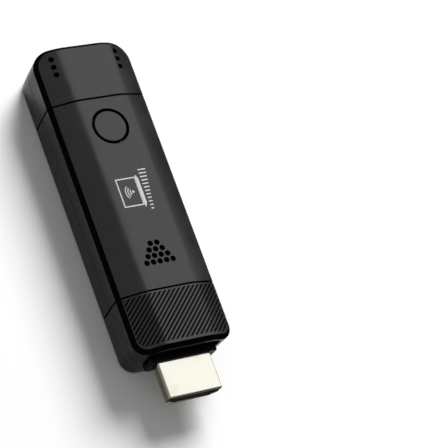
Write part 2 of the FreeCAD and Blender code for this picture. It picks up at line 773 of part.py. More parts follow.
INSULATOR_FRONT = f"({TIP} + insulator_setback)"
UPPER_ROW = f"({BOARD_TOP} + contact_thickness)"
LOWER_ROW = f"({BOARD_BOTTOM} - contact_thickness)"
insulator_block = prism_y("insulator_block", plug_outline("(plug_wall + fit_gap / 2)"),
                          INSULATOR_FRONT, BOARD_FRONT)
tongue_slot = box("tongue_slot", ("-slot_width / 2", f"({INSULATOR_FRONT} - {OVER})", LOWER_ROW),
                  ("slot_width / 2", f"({INSULATOR_FRONT} + slot_depth)", UPPER_ROW))
tunnels = [box("contact_tunnel", (f"-({count} * contact_pitch / 2)", INSULATOR_FRONT, low),
               (f"({count} * contact_pitch / 2)", f"({BOARD_FRONT} + {OVER})", high))
           for count, low, high in ((UPPER_CONTACTS, BOARD_TOP, UPPER_ROW),
                                    (LOWER_CONTACTS, LOWER_ROW, BOARD_BOTTOM))]
keep("plug_insulator", cut("insulator", insulator_block, tongue_slot, *tunnels))


def make_contacts(name, count, low, high):
    return group(name, [
        box(name + "_strip", (f"(({2 * step - count + 1}) * contact_pitch / 2 - contact_width / 2)",
                              f"({TIP} + contact_setback)", low),
            (f"(({2 * step - count + 1}) * contact_pitch / 2 + contact_width / 2)",
             f"({BOARD_FRONT} + contact_tail)", high)) for step in range(count)])


keep("plug_contacts_upper", make_contacts("upper_contacts", UPPER_CONTACTS, BOARD_TOP, UPPER_ROW))
keep("plug_contacts_lower", make_contacts("lower_contacts", LOWER_CONTACTS, LOWER_ROW,
                                          BOARD_BOTTOM))

# Collar between the plug and the casing, with a flange behind the front wall
COLLAR_LOW = f"({PLUG_BOTTOM} - collar_bottom_wall)"
COLLAR_HIGH = f"({PLUG_TOP} + collar_top_wall)"
FLANGE_START = f"({FRONT} + front_wall)"
collar_nose = prism_y("collar_nose", bevelled_outline(
    COLLAR_WIDTH, COLLAR_LOW, COLLAR_HIGH, "collar_bevel"),
    f"({FRONT} - collar_reach)", f"({FLANGE_START} + collar_flange)")
collar_plate = prism_y("collar_plate", bevelled_outline(
    f"({COLLAR_WIDTH} + 2 * collar_flange)", f"({COLLAR_LOW} - collar_flange)",
    f"({COLLAR_HIGH} + collar_flange)", "collar_bevel"),
    FLANGE_START, f"({FLANGE_START} + collar_flange)")
collar_bore = prism_y("collar_bore", plug_outline("(0 - fit_gap / 2)"),
                      f"({FRONT} - collar_reach - {OVER})",
                      f"({FLANGE_START} + collar_flange + {OVER})")
keep("plug_collar", cut("collar", join("collar_whole", collar_nose, collar_plate), collar_bore))

# Circuit board and its screws
board_blank = prism_z("board_blank", corner_rectangle(BOARD_WIDTH, BOARD_FRONT, BOARD_REAR),
                      BOARD_BOTTOM, BOARD_TOP)
round_edges(board_blank, is_upright, "board_corner")
board_holes = [disc("board_hole", "screw_diameter + screw_clearance", f"({BOARD_BOTTOM} - {OVER})",
                    f"({BOARD_TOP} + {OVER})", f"{side} * {POST_X}", y)
               for side in SIDES for y in POST_PLACES]
keep("main_board", cut("board", board_blank, *board_holes))


def make_screw(x, y):
    head_top = f"({BOARD_TOP} + screw_head_height)"
    head = disc("screw_head", "screw_head", BOARD_TOP, head_top, x, y)
    shank = disc("screw_shank", "screw_diameter", f"({BOARD_TOP} - screw_length)", head_top, x, y)
    drives = [block("screw_drive", *spans, "2 * drive_depth", x, y,
                    f"({head_top} - drive_depth)")
              for spans in (("drive_width", "drive_span"), ("drive_span", "drive_width"))]
    return cut("screw", join("screw_whole", head, shank), *drives)


keep("board_screws", group("screws", [make_screw(f"{side} * {POST_X}", y)
                                      for side in SIDES for y in POST_PLACES]))


# Parts soldered to the top of the board
def chip(label, kind, x, y, z=BOARD_TOP):
    return keep(label, block(label + "_body", f"{kind}_width", f"{kind}_length",
                             f"{kind}_height", x, y, z))


PROCESSOR_Y = f"({FRONT_SEAM} + processor_place)"
PROCESSOR_TOP = f"({BOARD_TOP} + processor_height)"
SPREADER_LOW = f"({PROCESSOR_TOP} + pad_thickness)"
chip("signal_driver_chip", "driver", "0", f"({FRONT_SEAM} + driver_place)")
chip("video_processor", "processor", "0", PROCESSOR_Y)
keep("thermal_pad", block("pad", "processor_width", "processor_length", "pad_thickness",
                          "0", PROCESSOR_Y, PROCESSOR_TOP))
spreader_plate = block("spreader_plate", "spreader_width", "spreader_length",
                       "spreader_thickness", "0", PROCESSOR_Y, SPREADER_LOW)
spreader_slots = [block("spreader_slot", "spreader_groove", f"spreader_length + {REACH}",
                        "spreader_thickness",
                        f"({2 * step - SPREADER_GROOVES + 1}) * spreader_width"
                        f" / {2 * (SPREADER_GROOVES + 1)}", PROCESSOR_Y,
                        f"({SPREADER_LOW} + spreader_thickness / 2)")
                  for step in range(SPREADER_GROOVES)]
keep("heat_spreader", cut("spreader", spreader_plate, *spreader_slots))
for side, label in zip(SIDES, ("status_light_left", "status_light_right")):
    chip(label, "light", f"{side} * light_spacing / 2", f"({FRONT_SEAM} + light_place)")
chip("clock_crystal", "crystal", f"-({BOARD_WIDTH} / 2 - crystal_inset)",
     f"({PROCESSOR_Y} - spreader_length / 2 - crystal_length)")
CHIPS_Y = f"(({PROCESSOR_Y} + processor_length / 2 + {BUTTON_Y} - switch_width / 2) / 2)"
chip("memory_chip", "memory", "-(memory_width + chip_side_gap) / 2", CHIPS_Y)
chip("flash_chip", "flash", "(flash_width + chip_side_gap) / 2", CHIPS_Y)


def make_inductor(side):
    """A square ferrite block with a round waist."""
    x = f"{side} * ({BOARD_WIDTH} / 2 - inductor_inset)"
    whole = block("inductor_block", "inductor_width", "inductor_width", "inductor_height",
                  x, BUTTON_Y, BOARD_TOP)
    third = "inductor_height / 3"
    band = block("inductor_band", "2 * inductor_width", "2 * inductor_width", third,
                 x, BUTTON_Y, f"({BOARD_TOP} + {third})")
    core = disc("inductor_core", "inductor_core", BOARD_TOP,
                f"({BOARD_TOP} + inductor_height)", x, BUTTON_Y)
    return cut("inductor", whole, cut("inductor_waist", band, core))


for side, label in zip(SIDES, ("power_inductor_left", "power_inductor_right")):
    keep(label, make_inductor(side))

# Radio: a carrier board, its chip and the can over it, with two chip antennas behind
RADIO_Y = f"({SOCKET_END} - radio_gap - radio_length / 2)"
RADIO_TOP = f"({BOARD_TOP} + radio_board)"
keep("radio_carrier", block("carrier", "radio_width", "radio_length", "radio_board",
                            "0", RADIO_Y, BOARD_TOP))
keep("radio_chip", block("radio_die", "radio_chip_width", "radio_chip_width",
                         "radio_chip_height", "0", RADIO_Y, RADIO_TOP))
can_block = block("can_block", "radio_width - 2 * can_margin", "radio_length - 2 * can_margin",
                  "can_height", "0", RADIO_Y, RADIO_TOP)
can_hollow = block("can_hollow", "radio_width - 2 * can_margin - 2 * can_wall",
                   "radio_length - 2 * can_margin - 2 * can_wall", "can_height",
                   "0", RADIO_Y, f"({RADIO_TOP} - can_wall)")
keep("shield_can", cut("can", can_block, can_hollow))
for side, label in zip(SIDES, ("antenna_left", "antenna_right")):
    chip(label, "antenna", f"{side} * ({BOARD_WIDTH} / 2 - antenna_inset)",
         f"({REAR_SEAM} + antenna_place)")

# Parts under the board
UNDER_ROWS = (f"({PROCESSOR_Y} - processor_length / 4)", f"({PROCESSOR_Y} + processor_length / 4)")
keep("chip_capacitors", group("capacitors", [
    block("capacitor", "capacitor_width", "capacitor_length", "capacitor_height",
          f"({2 * step - CAPACITORS_PER_ROW + 1}) * capacitor_pitch / 2", y,
          f"({BOARD_BOTTOM} - capacitor_height)")
    for y in UNDER_ROWS for step in range(CAPACITORS_PER_ROW)]))
chip("power_regulator", "regulator", "0", BUTTON_Y, f"({BOARD_BOTTOM} - regulator_height)")

# Power socket: a rounded metal shell, the block and tongue inside it, and its contacts
socket_tube = stadium("socket_tube", "socket_width", "socket_height", SOCKET_END, SOCKET_MOUTH)
socket_bore = stadium("socket_bore", "socket_width - 2 * socket_wall",
                      "socket_height - 2 * socket_wall", f"({SOCKET_END} - {OVER})",
                      f"({SOCKET_MOUTH} + {OVER})")
keep("power_socket_shell", cut("socket", socket_tube, socket_bore))
socket_block = stadium("socket_plug", "socket_width - 2 * socket_wall - fit_gap",
                       "socket_height - 2 * socket_wall - fit_gap", SOCKET_END,
                       f"({SOCKET_END} + socket_block)")
TONGUE_LOW = f"({SOCKET_CENTRE} - tongue_thickness / 2)"
TONGUE_HIGH = f"({SOCKET_CENTRE} + tongue_thickness / 2)"
tongue = box("tongue", ("-tongue_width / 2", f"({SOCKET_END} + socket_block / 2)", TONGUE_LOW),
             ("tongue_width / 2", f"({SOCKET_MOUTH} - tongue_setback)", TONGUE_HIGH))
keep("power_socket_tongue", join("socket_insulator", socket_block, tongue))
keep("power_socket_contacts", group("socket_contacts", [
    block("socket_contact", "socket_contact_width", "socket_contact_length",
          "socket_contact_thickness", f"({2 * step - SOCKET_CONTACTS + 1}) * socket_contact_pitch / 2",
          f"({SOCKET_END} + socket_block + socket_contact_length / 2)", z)
    for step in range(SOCKET_CONTACTS)
    for z in (TONGUE_HIGH, f"({TONGUE_LOW} - socket_contact_thickness)")]))

doc.recompute()

for thing in doc.Objects:
    if "Invalid" in thing.State or "Error" in thing.State:
        raise RuntimeError(f"{thing.Label} failed: {thing.State}")
os.makedirs("parts", exist_ok=True)
for label, thing in nodes.items():
    shape = thing.Shape
    if shape.isNull() or not shape.isValid() or not shape.Solids:
        raise RuntimeError(f"{label} has no sound shape")
    shape.exportStep(f"parts/{label}.step")
    print(f"{label}: {len(shape.Solids)} solids, {shape.Volume:.1f} mm3")
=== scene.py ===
"""Looks of the video transmitter stick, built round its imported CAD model.

The casing's mouldings, the button, the plug's insulator and its collar are copies of their
CAD nodes with rounded edges. The plug's shell and legs, the switch's spring dome and the
printed sign are surfaces worked out here. The soldered parts keep their nodes, and have
their detail in their materials.
All lengths are in metres in the model's own frame: +Z up, the plug along -Y.
"""

import logging
import math
from dataclasses import dataclass
from enum import Enum, IntEnum
from typing import Callable

import bmesh
import bpy
import numpy as np
from mathutils import Matrix, Quaternion, Vector


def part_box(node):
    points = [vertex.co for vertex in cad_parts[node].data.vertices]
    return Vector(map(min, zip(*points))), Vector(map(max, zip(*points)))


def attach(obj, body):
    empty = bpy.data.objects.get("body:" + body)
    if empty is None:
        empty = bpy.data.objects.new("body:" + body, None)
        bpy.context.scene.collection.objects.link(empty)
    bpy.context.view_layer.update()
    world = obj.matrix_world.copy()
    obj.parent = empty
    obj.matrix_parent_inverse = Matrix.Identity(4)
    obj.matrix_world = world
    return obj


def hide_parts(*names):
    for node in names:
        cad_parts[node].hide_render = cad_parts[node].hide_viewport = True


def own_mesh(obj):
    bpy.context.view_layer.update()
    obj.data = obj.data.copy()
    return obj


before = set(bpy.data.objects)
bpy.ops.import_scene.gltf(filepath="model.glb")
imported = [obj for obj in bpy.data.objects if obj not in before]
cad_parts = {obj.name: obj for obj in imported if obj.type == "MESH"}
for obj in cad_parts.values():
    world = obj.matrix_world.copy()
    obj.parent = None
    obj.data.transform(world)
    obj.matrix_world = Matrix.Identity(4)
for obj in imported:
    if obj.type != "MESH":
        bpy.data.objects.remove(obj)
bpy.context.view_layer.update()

Array = np.ndarray
Socket = bpy.types.NodeSocket
Range = tuple[float, float]
Point = tuple[float, float, float]
Colour = tuple[float, float, float]
Value = Socket | float | Point | Colour

LOG = logging.getLogger("transmitter_stick")
MM = 0.001
ROUND = 2 * math.pi
LOW, HIGH = 0, 1


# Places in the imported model


def side(node: str, end: int, axis: str) -> float:
    """Where a CAD node starts or ends.

    Args:
        node: The node.
        end: LOW or HIGH.
        axis: X, Y or Z.

    Returns:
        The coordinate of that side of its box, to a tenth of a micrometre.
    """
    return round(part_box(node)[end]["XYZ".index(axis)], 7)


CASING_TOP = side("upper_shell", HIGH, "Z")
CASING_FRONT = side("front_cap_upper", LOW, "Y")
CASING_REAR = side("rear_cap_upper", HIGH, "Y")
FRONT_SEAM = side("front_cap_upper", HIGH, "Y")
REAR_SEAM = side("rear_cap_upper", LOW, "Y")
BUTTON_Y = (side("button_cap", LOW, "Y") + side("button_cap", HIGH, "Y")) / 2
BOARD_BOTTOM = side("main_board", LOW, "Z")
BOARD_TOP = side("main_board", HIGH, "Z")


class Body(Enum):
    """The CAD bodies that new pieces ride on."""

    CASING = "casing"
    BUTTON = "button"


class Zone(IntEnum):
    """The material slots of a moulded copy; the gap and band slots hold painted shade."""

    FINISH = 0
    GAP = 1
    BAND = 2
    WALL = 3


class Shown(Enum):
    """Which surfaces a lamp's light reaches."""

    EVERYWHERE = "everywhere"
    IN_GLOSS = "glossy surfaces, as a reflection"
    IN_DIFFUSE = "matt surfaces, as light and shadow"


# Node graphs


class Graph:
    """Builds one node tree with short calls."""

    def __init__(self, owner: bpy.types.Material | bpy.types.World, place: str = "Object") -> None:
        """Start an empty tree.

        Args:
            owner: The material or world that holds the tree.
            place: The coordinates that its patterns lie in.
        """
        owner.use_nodes = True
        self.owner = owner
        self.tree = owner.node_tree
        self.tree.nodes.clear()
        self.place = self.node("ShaderNodeTexCoord").outputs[place]

    def node(self, kind: str, inputs: dict[str | int, Value] | None = None,
             **settings: str | bool) -> bpy.types.Node:
        """Add a node.

        Args:
            kind: The node's bpy type name.
            inputs: Input name or index to a value or a socket.
            settings: Plain attributes of the node.

        Returns:
            The new node.
        """
        made = self.tree.nodes.new(kind)
        for key, value in settings.items():
            setattr(made, key, value)
        for key, value in (inputs or {}).items():
            self.feed(made.inputs[key], value)
        return made

    def feed(self, socket: Socket, value: Value) -> None:
        """Link a socket, or set its value.

        Args:
            socket: The input to fill.
            value: Another node's output, or a plain value.
        """
        if isinstance(value, Socket):
            self.tree.links.new(value, socket)
        elif isinstance(value, tuple) and len(value) == 3 and len(socket.default_value) == 4:
            socket.default_value = (*value, 1.0)
        else:
            socket.default_value = value

    def math(self, operation: str, *values: Value, clamp: bool = False) -> Socket:
        """Add a Math node.

        Args:
            operation: Its operation.
            values: One to three inputs.
            clamp: Whether the result is held between 0 and 1.

        Returns:
            The result's socket.
        """
        inputs = dict(enumerate(values))
        return self.node("ShaderNodeMath", inputs, operation=operation, use_clamp=clamp).outputs[0]

    def noise(self, scale: float, detail: float = 2.0, rough: float = 0.5,
              place: Socket | None = None) -> Socket:
        """Fractal noise of a real size.

        Args:
            scale: Features per metre.
            detail: Octaves.
            rough: How strong the finer octaves are.
            place: The coordinates, if not the tree's own.

        Returns:
            The noise, about 0.5 on average.
        """
        inputs = {"Vector": place or self.place, "Scale": scale, "Detail": detail,
                  "Roughness": rough}
        return self.node("ShaderNodeTexNoise", inputs).outputs["Fac"]

    def cells(self, scale: float) -> Socket:
        """Distance to the nearest point of a random pattern.

        Args:
            scale: Points per metre.

        Returns:
            The distance's socket, in parts of a cell.
        """
        inputs = {"Vector": self.place, "Scale": scale}
        return self.node("ShaderNodeTexVoronoi", inputs, feature="F1").outputs["Distance"]

    def wave(self, axis: str, rate: float) -> Socket:
        """A sine wave along an axis.

        Args:
            axis: X, Y or Z.
            rate: Radians per metre.

        Returns:
            The wave's socket, from -1 to 1.
        """
        return self.math("SINE", self.math("MULTIPLY", self.axis(axis), rate))

    def stretched(self, axis: str, share: float) -> Socket:
        """Coordinates in which a pattern is drawn out along an axis.

        Args:
            axis: X, Y or Z.
            share: What that coordinate is multiplied by.

        Returns:
            The coordinates' socket.
        """
        scale = tuple(share if name == axis else 1.0 for name in "XYZ")
        return self.node("ShaderNodeMapping", {"Vector": self.place, "Scale": scale}).outputs[0]

    def span(self, value: Socket, over: Range, to: Range = (0.0, 1.0)) -> Socket:
        """Carry a value smoothly from one range to another.

        Args:
            value: The socket to carry.
            over: Where the input range starts and ends.
            to: The results at these two ends, which hold beyond them.

        Returns:
            The result's socket.
        """
        inputs = dict(zip(("Value", "From Min", "From Max", "To Min", "To Max"),
                          (value, *over, *to)))
        return self.node("ShaderNodeMapRange", inputs, interpolation_type="SMOOTHSTEP").outputs[0]

    def blend(self, factor: Socket, first: Value, second: Value) -> Socket:
        """Mix two colours.

        Args:
            factor: Share of the second.
            first: A colour or socket.
            second: A colour or socket.

        Returns:
            The mixed colour's socket.
        """
        inputs = {0: factor, 6: first, 7: second}
        return self.node("ShaderNodeMix", inputs, data_type="RGBA").outputs[2]

    def bump(self, height: Socket, depth: float, below: Socket | None = None) -> Socket:
        """Tilt the normal by a height.

        Args:
            height: The height's socket.
            depth: What a height of 1 is, in metres.
            below: A coarser bump to stand on.

        Returns:
            The normal's socket.
        """
        inputs = {"Height": height, "Distance": depth, "Strength": 1.0}
        if below is not None:
            inputs["Normal"] = below
        return self.node("ShaderNodeBump", inputs).outputs["Normal"]

    def axis(self, name: str) -> Socket:
        """One of the three coordinates that the tree's patterns lie in."""
        return self.node("ShaderNodeSeparateXYZ", {0: self.place}).outputs[name]

    def normal(self, name: str) -> Socket:
        """One component of the surface's normal."""
        surface = self.node("ShaderNodeNewGeometry").outputs["Normal"]
        return self.node("ShaderNodeSeparateXYZ", {0: surface}).outputs[name]

    def surface(self, **inputs: Value) -> bpy.types.Material:
        """Close a material's tree with a Principled shader.

        Args:
            inputs: Socket names, with underscores for spaces, to values or sockets.

        Returns:
            The finished material.
        """
        named = {key.replace("_", " "): value for key, value in inputs.items()}
        shader = self.node("ShaderNodeBsdfPrincipled", named)
        self.node("ShaderNodeOutputMaterial", {"Surface": shader.outputs[0]})
        return self.owner


# Finishes


@dataclass(frozen=True)
class Finish:
    """A plain finish, and what every other finish has: a name, a colour and a roughness."""

    name: str
    colour: Colour
    roughness: float

    def material(self) -> bpy.types.Material:
        """The finish's material, made once."""
        return bpy.data.materials.get(self.name) or self.build()

    def start(self) -> Graph:
        """An empty tree in a new material."""
        return Graph(bpy.data.materials.new(self.name))

    def tint(self, share: float, limit: float = 1.0) -> Colour:
        """The finish's colour, lighter or darker.

        Args:
            share: What each part of the colour is multiplied by.
            limit: The lightest that a part may get.

        Returns:
            The changed colour.
        """
        return tuple(min(part * share, limit) for part in self.colour)

    def around(self, duller: float, glossier: float) -> Range:
        """A range of roughness round the finish's own, from glossier to duller."""
        return self.roughness - glossier, self.roughness + duller

    def build(self) -> bpy.types.Material:
        """Colour drift from broad noise, paler worn spots from cells, and a fine grain.

        Returns:
            The material.
        """
        graph = self.start()
        drift = graph.span(graph.noise(scale=900.0, detail=4.0, rough=0.6), (0.3, 0.7))
        worn = graph.span(graph.cells(scale=1500.0), (0.0, 0.12), to=(0.35, 0.0))
        tone = graph.blend(drift, self.tint(0.78), self.colour)
        tone = graph.blend(worn, tone, self.tint(1.5, limit=0.9))
        rough = graph.math("ADD", worn, graph.span(
            graph.noise(scale=2600.0), (0.3, 0.7), to=self.around(duller=0.05, glossier=0.06)))
        grain = graph.noise(scale=14000.0, detail=3.0)
        return graph.surface(Base_Color=tone, Roughness=rough,
                             Normal=graph.bump(grain, depth=5e-6))


@dataclass(frozen=True)
class MouldedPlastic(Finish):
    """Moulded plastic with spark-eroded grain, haze and pale specks."""

    grain_depth: float = 0.8e-6
    specular: float = 0.82
    crown: float | None = None
    crown_start: float = 7.6 * MM

    def crowned(self, graph: Graph) -> Socket | None:
        """The slight roundness of the top's slopes.

        It drops by d^2 / 2r at a distance d beyond its start, on both sides, where r is
        the crown's radius.

        Args:
            graph: The material's tree.

        Returns:
            The normal's socket, or nothing for a surface without a crown.
        """
        if self.crown is None:
            return None
        beyond = graph.math("SUBTRACT", graph.math("ABSOLUTE", graph.axis("X")),
                            self.crown_start)
        beyond = graph.math("MAXIMUM", beyond, 0.0)
        drop = graph.math("MULTIPLY", graph.math("MULTIPLY", beyond, beyond),
                          -0.5 / self.crown)
        return graph.bump(drop, depth=1.0)

    def build(self) -> bpy.types.Material:
        """Grain from fine noise and cells, and roughness from haze and specks.

        Returns:
            The material.
        """
        graph = self.start()
        haze = graph.noise(scale=140.0, detail=4.0, rough=0.6)
        specks = graph.span(graph.cells(scale=2600.0), (0.0, 0.09), to=(0.06, 0.0))
        satin = graph.math("ADD", specks, graph.span(
            haze, (0.35, 0.7), to=self.around(duller=0.04, glossier=0.03)))
        tone = graph.blend(graph.span(haze, (0.3, 0.75)), self.colour, self.tint(1.25))
        grain = graph.math("ADD", graph.math("MULTIPLY", graph.noise(scale=16000.0), 0.7),
                           graph.math("MULTIPLY", graph.cells(scale=9000.0), 0.3))
        return graph.surface(
            Base_Color=tone, Roughness=satin, IOR=1.52, Specular_IOR_Level=self.specular,
            Normal=graph.bump(grain, self.grain_depth, below=self.crowned(graph)))


@dataclass(frozen=True)
class PaintedShadeBand(Finish):
    """The band round the top edge in painted shade, darker than the casing and smooth, with
    hairline scuffs.
    """

    def build(self) -> bpy.types.Material:
        """Painted shade: very dark and without reflection, a little duller where stretched noise
        makes scuffs.

        Returns:
            The material.
        """
        graph = self.start()
        scuffs = graph.span(graph.noise(scale=6000.0, detail=3.0, rough=0.6,
                                        place=graph.stretched("Y", 0.05)), (0.62, 0.8))
        rough = graph.math("ADD", self.roughness, graph.math("MULTIPLY", scuffs, 0.1))
        tone = graph.blend(scuffs, self.colour, self.tint(2.0))
        return graph.surface(Base_Color=tone, Roughness=rough, Specular_IOR_Level=0.0,
                             Normal=graph.bump(scuffs, depth=1e-6))


@dataclass(frozen=True)
class PaintedShadePlastic(Finish):
    """Painted shade in seams, grooves and holes: darker than the casing, with a little dust."""

    def build(self) -> bpy.types.Material:
        """Painted shade: deeper black than the casing, with faint dust, and almost no gloss.

        Returns:
            The material.
        """
        graph = self.start()
        dust = graph.span(graph.noise(scale=4200.0, detail=3.0), (0.6, 0.85), to=(0.0, 0.5))
        grain = graph.noise(scale=8000.0, detail=3.0)
        return graph.surface(Base_Color=graph.blend(dust, self.colour, self.tint(3.0)),
                             Roughness=self.roughness, Specular_IOR_Level=0.08,
                             Normal=graph.bump(grain, depth=6e-6))


@dataclass(frozen=True)
class PlatedMetal(Finish):
    """Plated sheet metal: drawing lines along one axis, and small tarnish marks."""

    lines_along: str = "Y"
    stain: Colour = (0.5, 0.42, 0.26)
    painted_shade_flanks: Colour | None = None
    painted_shade_mouth: Colour | None = None

    def build(self) -> bpy.types.Material:
        """Fine stretched lines, slight stains, and painted shade on the flanks and mouth if given.

        The flanks' painted shade is where the normal lies flat, and the mouth's is where it looks
        along -Y.

        Returns:
            The material.
        """
        graph = self.start()
        lines = graph.noise(scale=22000.0, detail=3.0, rough=0.6,
                            place=graph.stretched(self.lines_along, 0.04))
        cloud = graph.noise(scale=260.0, detail=3.0)
        tone = graph.blend(graph.span(cloud, (0.55, 0.85), to=(0.0, 0.14)),
                           self.colour, self.stain)
        # Painted shade: the flanks and the mouth are darkened by the direction of the normal.
        if self.painted_shade_flanks is not None:
            tone = graph.blend(graph.span(graph.normal("Z"), (0.35, 0.85)), self.painted_shade_flanks, tone)
        if self.painted_shade_mouth is not None:
            tone = graph.blend(graph.span(graph.normal("Y"), (-0.8, -0.4)), self.painted_shade_mouth, tone)
        rough = graph.math("ADD", graph.span(lines, (0.3, 0.7), to=(-0.02, 0.02)),
                           graph.span(cloud, (0.3, 0.8),
                                      to=self.around(duller=0.05, glossier=0.0)))
        return graph.surface(Base_Color=tone, Metallic=1.0, Roughness=rough,
                             Normal=graph.bump(lines, depth=4e-7))


@dataclass(frozen=True)
class ChipPackage(Finish):
    """A soldered chip: matt epoxy, a round mark at its first pin and tinned leads."""

    node: str
    board: float
    pitch: float
    tin: Colour = (0.72, 0.72, 0.7)
    lead_height: float = 0.6
    mark_inset: float = 0.16
    mark_radius: float = 0.05

    def leads(self, graph: Graph, height: float) -> Socket:
        """Where the leads are: stripes on the sides next to the board, cut from a sine wave.

        The stripes run along X on the faces that look along Y, and the other way round.

        Args:
            graph: The material's tree.
            height: The chip's height.

        Returns:
            A socket that is 1 on the leads and 0 elsewhere.
        """
        along_x, along_y = (graph.wave(name, ROUND / self.pitch) for name in "XY")
        faces_x = graph.math("GREATER_THAN", graph.math("ABSOLUTE", graph.normal("X")), 0.7)
        wave = graph.node("ShaderNodeMix", {0: faces_x, 2: along_x, 3: along_y}).outputs[0]
        upright = graph.math("LESS_THAN", graph.math("ABSOLUTE", graph.normal("Z")), 0.5)
        rise = graph.math("ABSOLUTE", graph.math("SUBTRACT", graph.axis("Z"), self.board))
        near = graph.math("LESS_THAN", rise, self.lead_height * height)
        return graph.math("MULTIPLY", graph.math("MULTIPLY", upright, near),
                          graph.span(wave, (0.0, 0.15)))

    def first_pin(self, graph: Graph, low: Vector, high: Vector) -> Socket:
        """Where the mark is: a circle near one corner of the face away from the board.

        Args:
            graph: The material's tree.
            low: The chip's lowest corner.
            high: Its highest corner.

        Returns:
            A socket that is 1 on the mark and 0 elsewhere.
        """
        width = min(high[0] - low[0], high[1] - low[1])
        face = max(low[2], high[2], key=lambda z: abs(z - self.board))
        centre = (low[0] + self.mark_inset * width, high[1] - self.mark_inset * width, face)
        gap = graph.node("ShaderNodeVectorMath", {0: graph.place, 1: centre},
                         operation="DISTANCE").outputs["Value"]
        rim = (0.9 * self.mark_radius * width, 1.1 * self.mark_radius * width)
        return graph.span(gap, rim, to=(1.0, 0.0))

    def build(self) -> bpy.types.Material:
        """Drifting epoxy, with the leads as metal and the mark as a shallow dimple.

        Returns:
            The material.
        """
        graph = self.start()
        low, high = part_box(self.node)
        leads = self.leads(graph, high[2] - low[2])
        dot = self.first_pin(graph, low, high)
        drift = graph.span(graph.noise(scale=1100.0, detail=4.0, rough=0.6), (0.3, 0.7))
        tone = graph.blend(drift, self.tint(0.7), self.colour)
        tone = graph.blend(dot, tone, self.tint(2.4))
        tone = graph.blend(leads, tone, self.tin)
        rough = graph.span(graph.math("ADD", leads, dot), (0.0, 1.0), to=(self.roughness, 0.32))
        relief = graph.math("SUBTRACT", graph.noise(scale=12000.0, detail=3.0),
                            graph.math("MULTIPLY", dot, 4.0))
        return graph.surface(Base_Color=tone, Metallic=leads, Roughness=rough,
                             Normal=graph.bump(relief, depth=6e-6))


@dataclass(frozen=True)
class SolderMask(Finish):
    """Green solder mask over copper tracks and a woven glass board."""

    over_copper: Colour = (0.0096, 0.102, 0.0375)
    track_step: float = 0.6 * MM
    weave_rate: float = 9000.0

    def build(self) -> bpy.types.Material:
        """Tracks from noise in square steps, and the glass weave from two crossed waves.

        Returns:
            The material.
        """
        graph = self.start()
        steps = graph.node("ShaderNodeVectorMath", {0: graph.place, 1: (self.track_step,) * 3},
                           operation="SNAP").outputs[0]
        track = graph.span(graph.noise(scale=900.0, detail=1.0, place=steps), (0.5, 0.53))
        tone = graph.blend(track, self.colour, self.over_copper)
        weave = graph.math("MULTIPLY", *(graph.wave(name, self.weave_rate) for name in "XY"))
        relief = graph.math("ADD", graph.math("MULTIPLY", track, 0.8),
                            graph.math("MULTIPLY", weave, 0.1))
        return graph.surface(Base_Color=tone, Roughness=self.roughness, Coat_Weight=0.35,
                             Normal=graph.bump(relief, depth=1.5e-5))


@dataclass(frozen=True)
class PrintInk(Finish):
    """Screen-printed ink, a little uneven at the edges of its dots."""

    def build(self) -> bpy.types.Material:
        """Ink with a faint screen pattern and thin spots.

        Returns:
            The material.
        """
        graph = self.start()
        thin = graph.span(graph.noise(scale=5200.0), (0.3, 0.62))
        return graph.surface(Base_Color=graph.blend(thin, self.tint(0.72), self.colour),
                             Roughness=self.roughness,
                             Normal=graph.bump(graph.cells(scale=11000.0), depth=2e-6))


@dataclass(frozen=True)
class StageFloor(Finish):
    """The pale floor under the object."""

    lift: float = 0.07

    def build(self) -> bpy.types.Material:
        """An even pale surface with a very fine tooth, a little whiter where it is seen.

        Returns:
            The material.
        """
        graph = self.start()
        path = graph.node("ShaderNodeLightPath").outputs
        seen = graph.math("ADD", path["Is Camera Ray"], path["Is Glossy Ray"])
        seen = graph.math("ADD", seen, path["Is Transmission Ray"], clamp=True)
        return graph.surface(Base_Color=self.colour, Roughness=self.roughness,
                             Specular_IOR_Level=0.1, Emission_Color=(1.0, 1.0, 1.0),
                             Emission_Strength=graph.math("MULTIPLY", seen, self.lift),
                             Normal=graph.bump(graph.noise(scale=3000.0), depth=5e-6))


MOULDED_BLACK = (0.006, 0.006, 0.0063)
CASING_BLACK = MouldedPlastic("casing_black", MOULDED_BLACK, 0.19, crown=0.1)
WALL_BLACK = MouldedPlastic("wall_black", MOULDED_BLACK, 0.3, grain_depth=2e-6, specular=0.2)
BUTTON_BLACK = MouldedPlastic("button_black", MOULDED_BLACK, 0.19)
# The collar's own black plastic, made darker and glossless as painted shade of the recess round
# it.
COLLAR_BLACK_AND_SHADE = PaintedShadePlastic("collar_black_and_shade", (0.003, 0.003, 0.0031), 0.4)
# Painted shade: the band is a darker copy of the casing plastic with no reflection.
BAND_PAINTED_SHADE = PaintedShadeBand("band_painted_shade", (0.003, 0.003, 0.0031), 0.14)
# Painted shade: the gaps are a darker copy of the casing plastic with almost no gloss.
GAP_PAINTED_SHADE = PaintedShadePlastic("gap_painted_shade", (0.0015, 0.0015, 0.0016), 0.75)
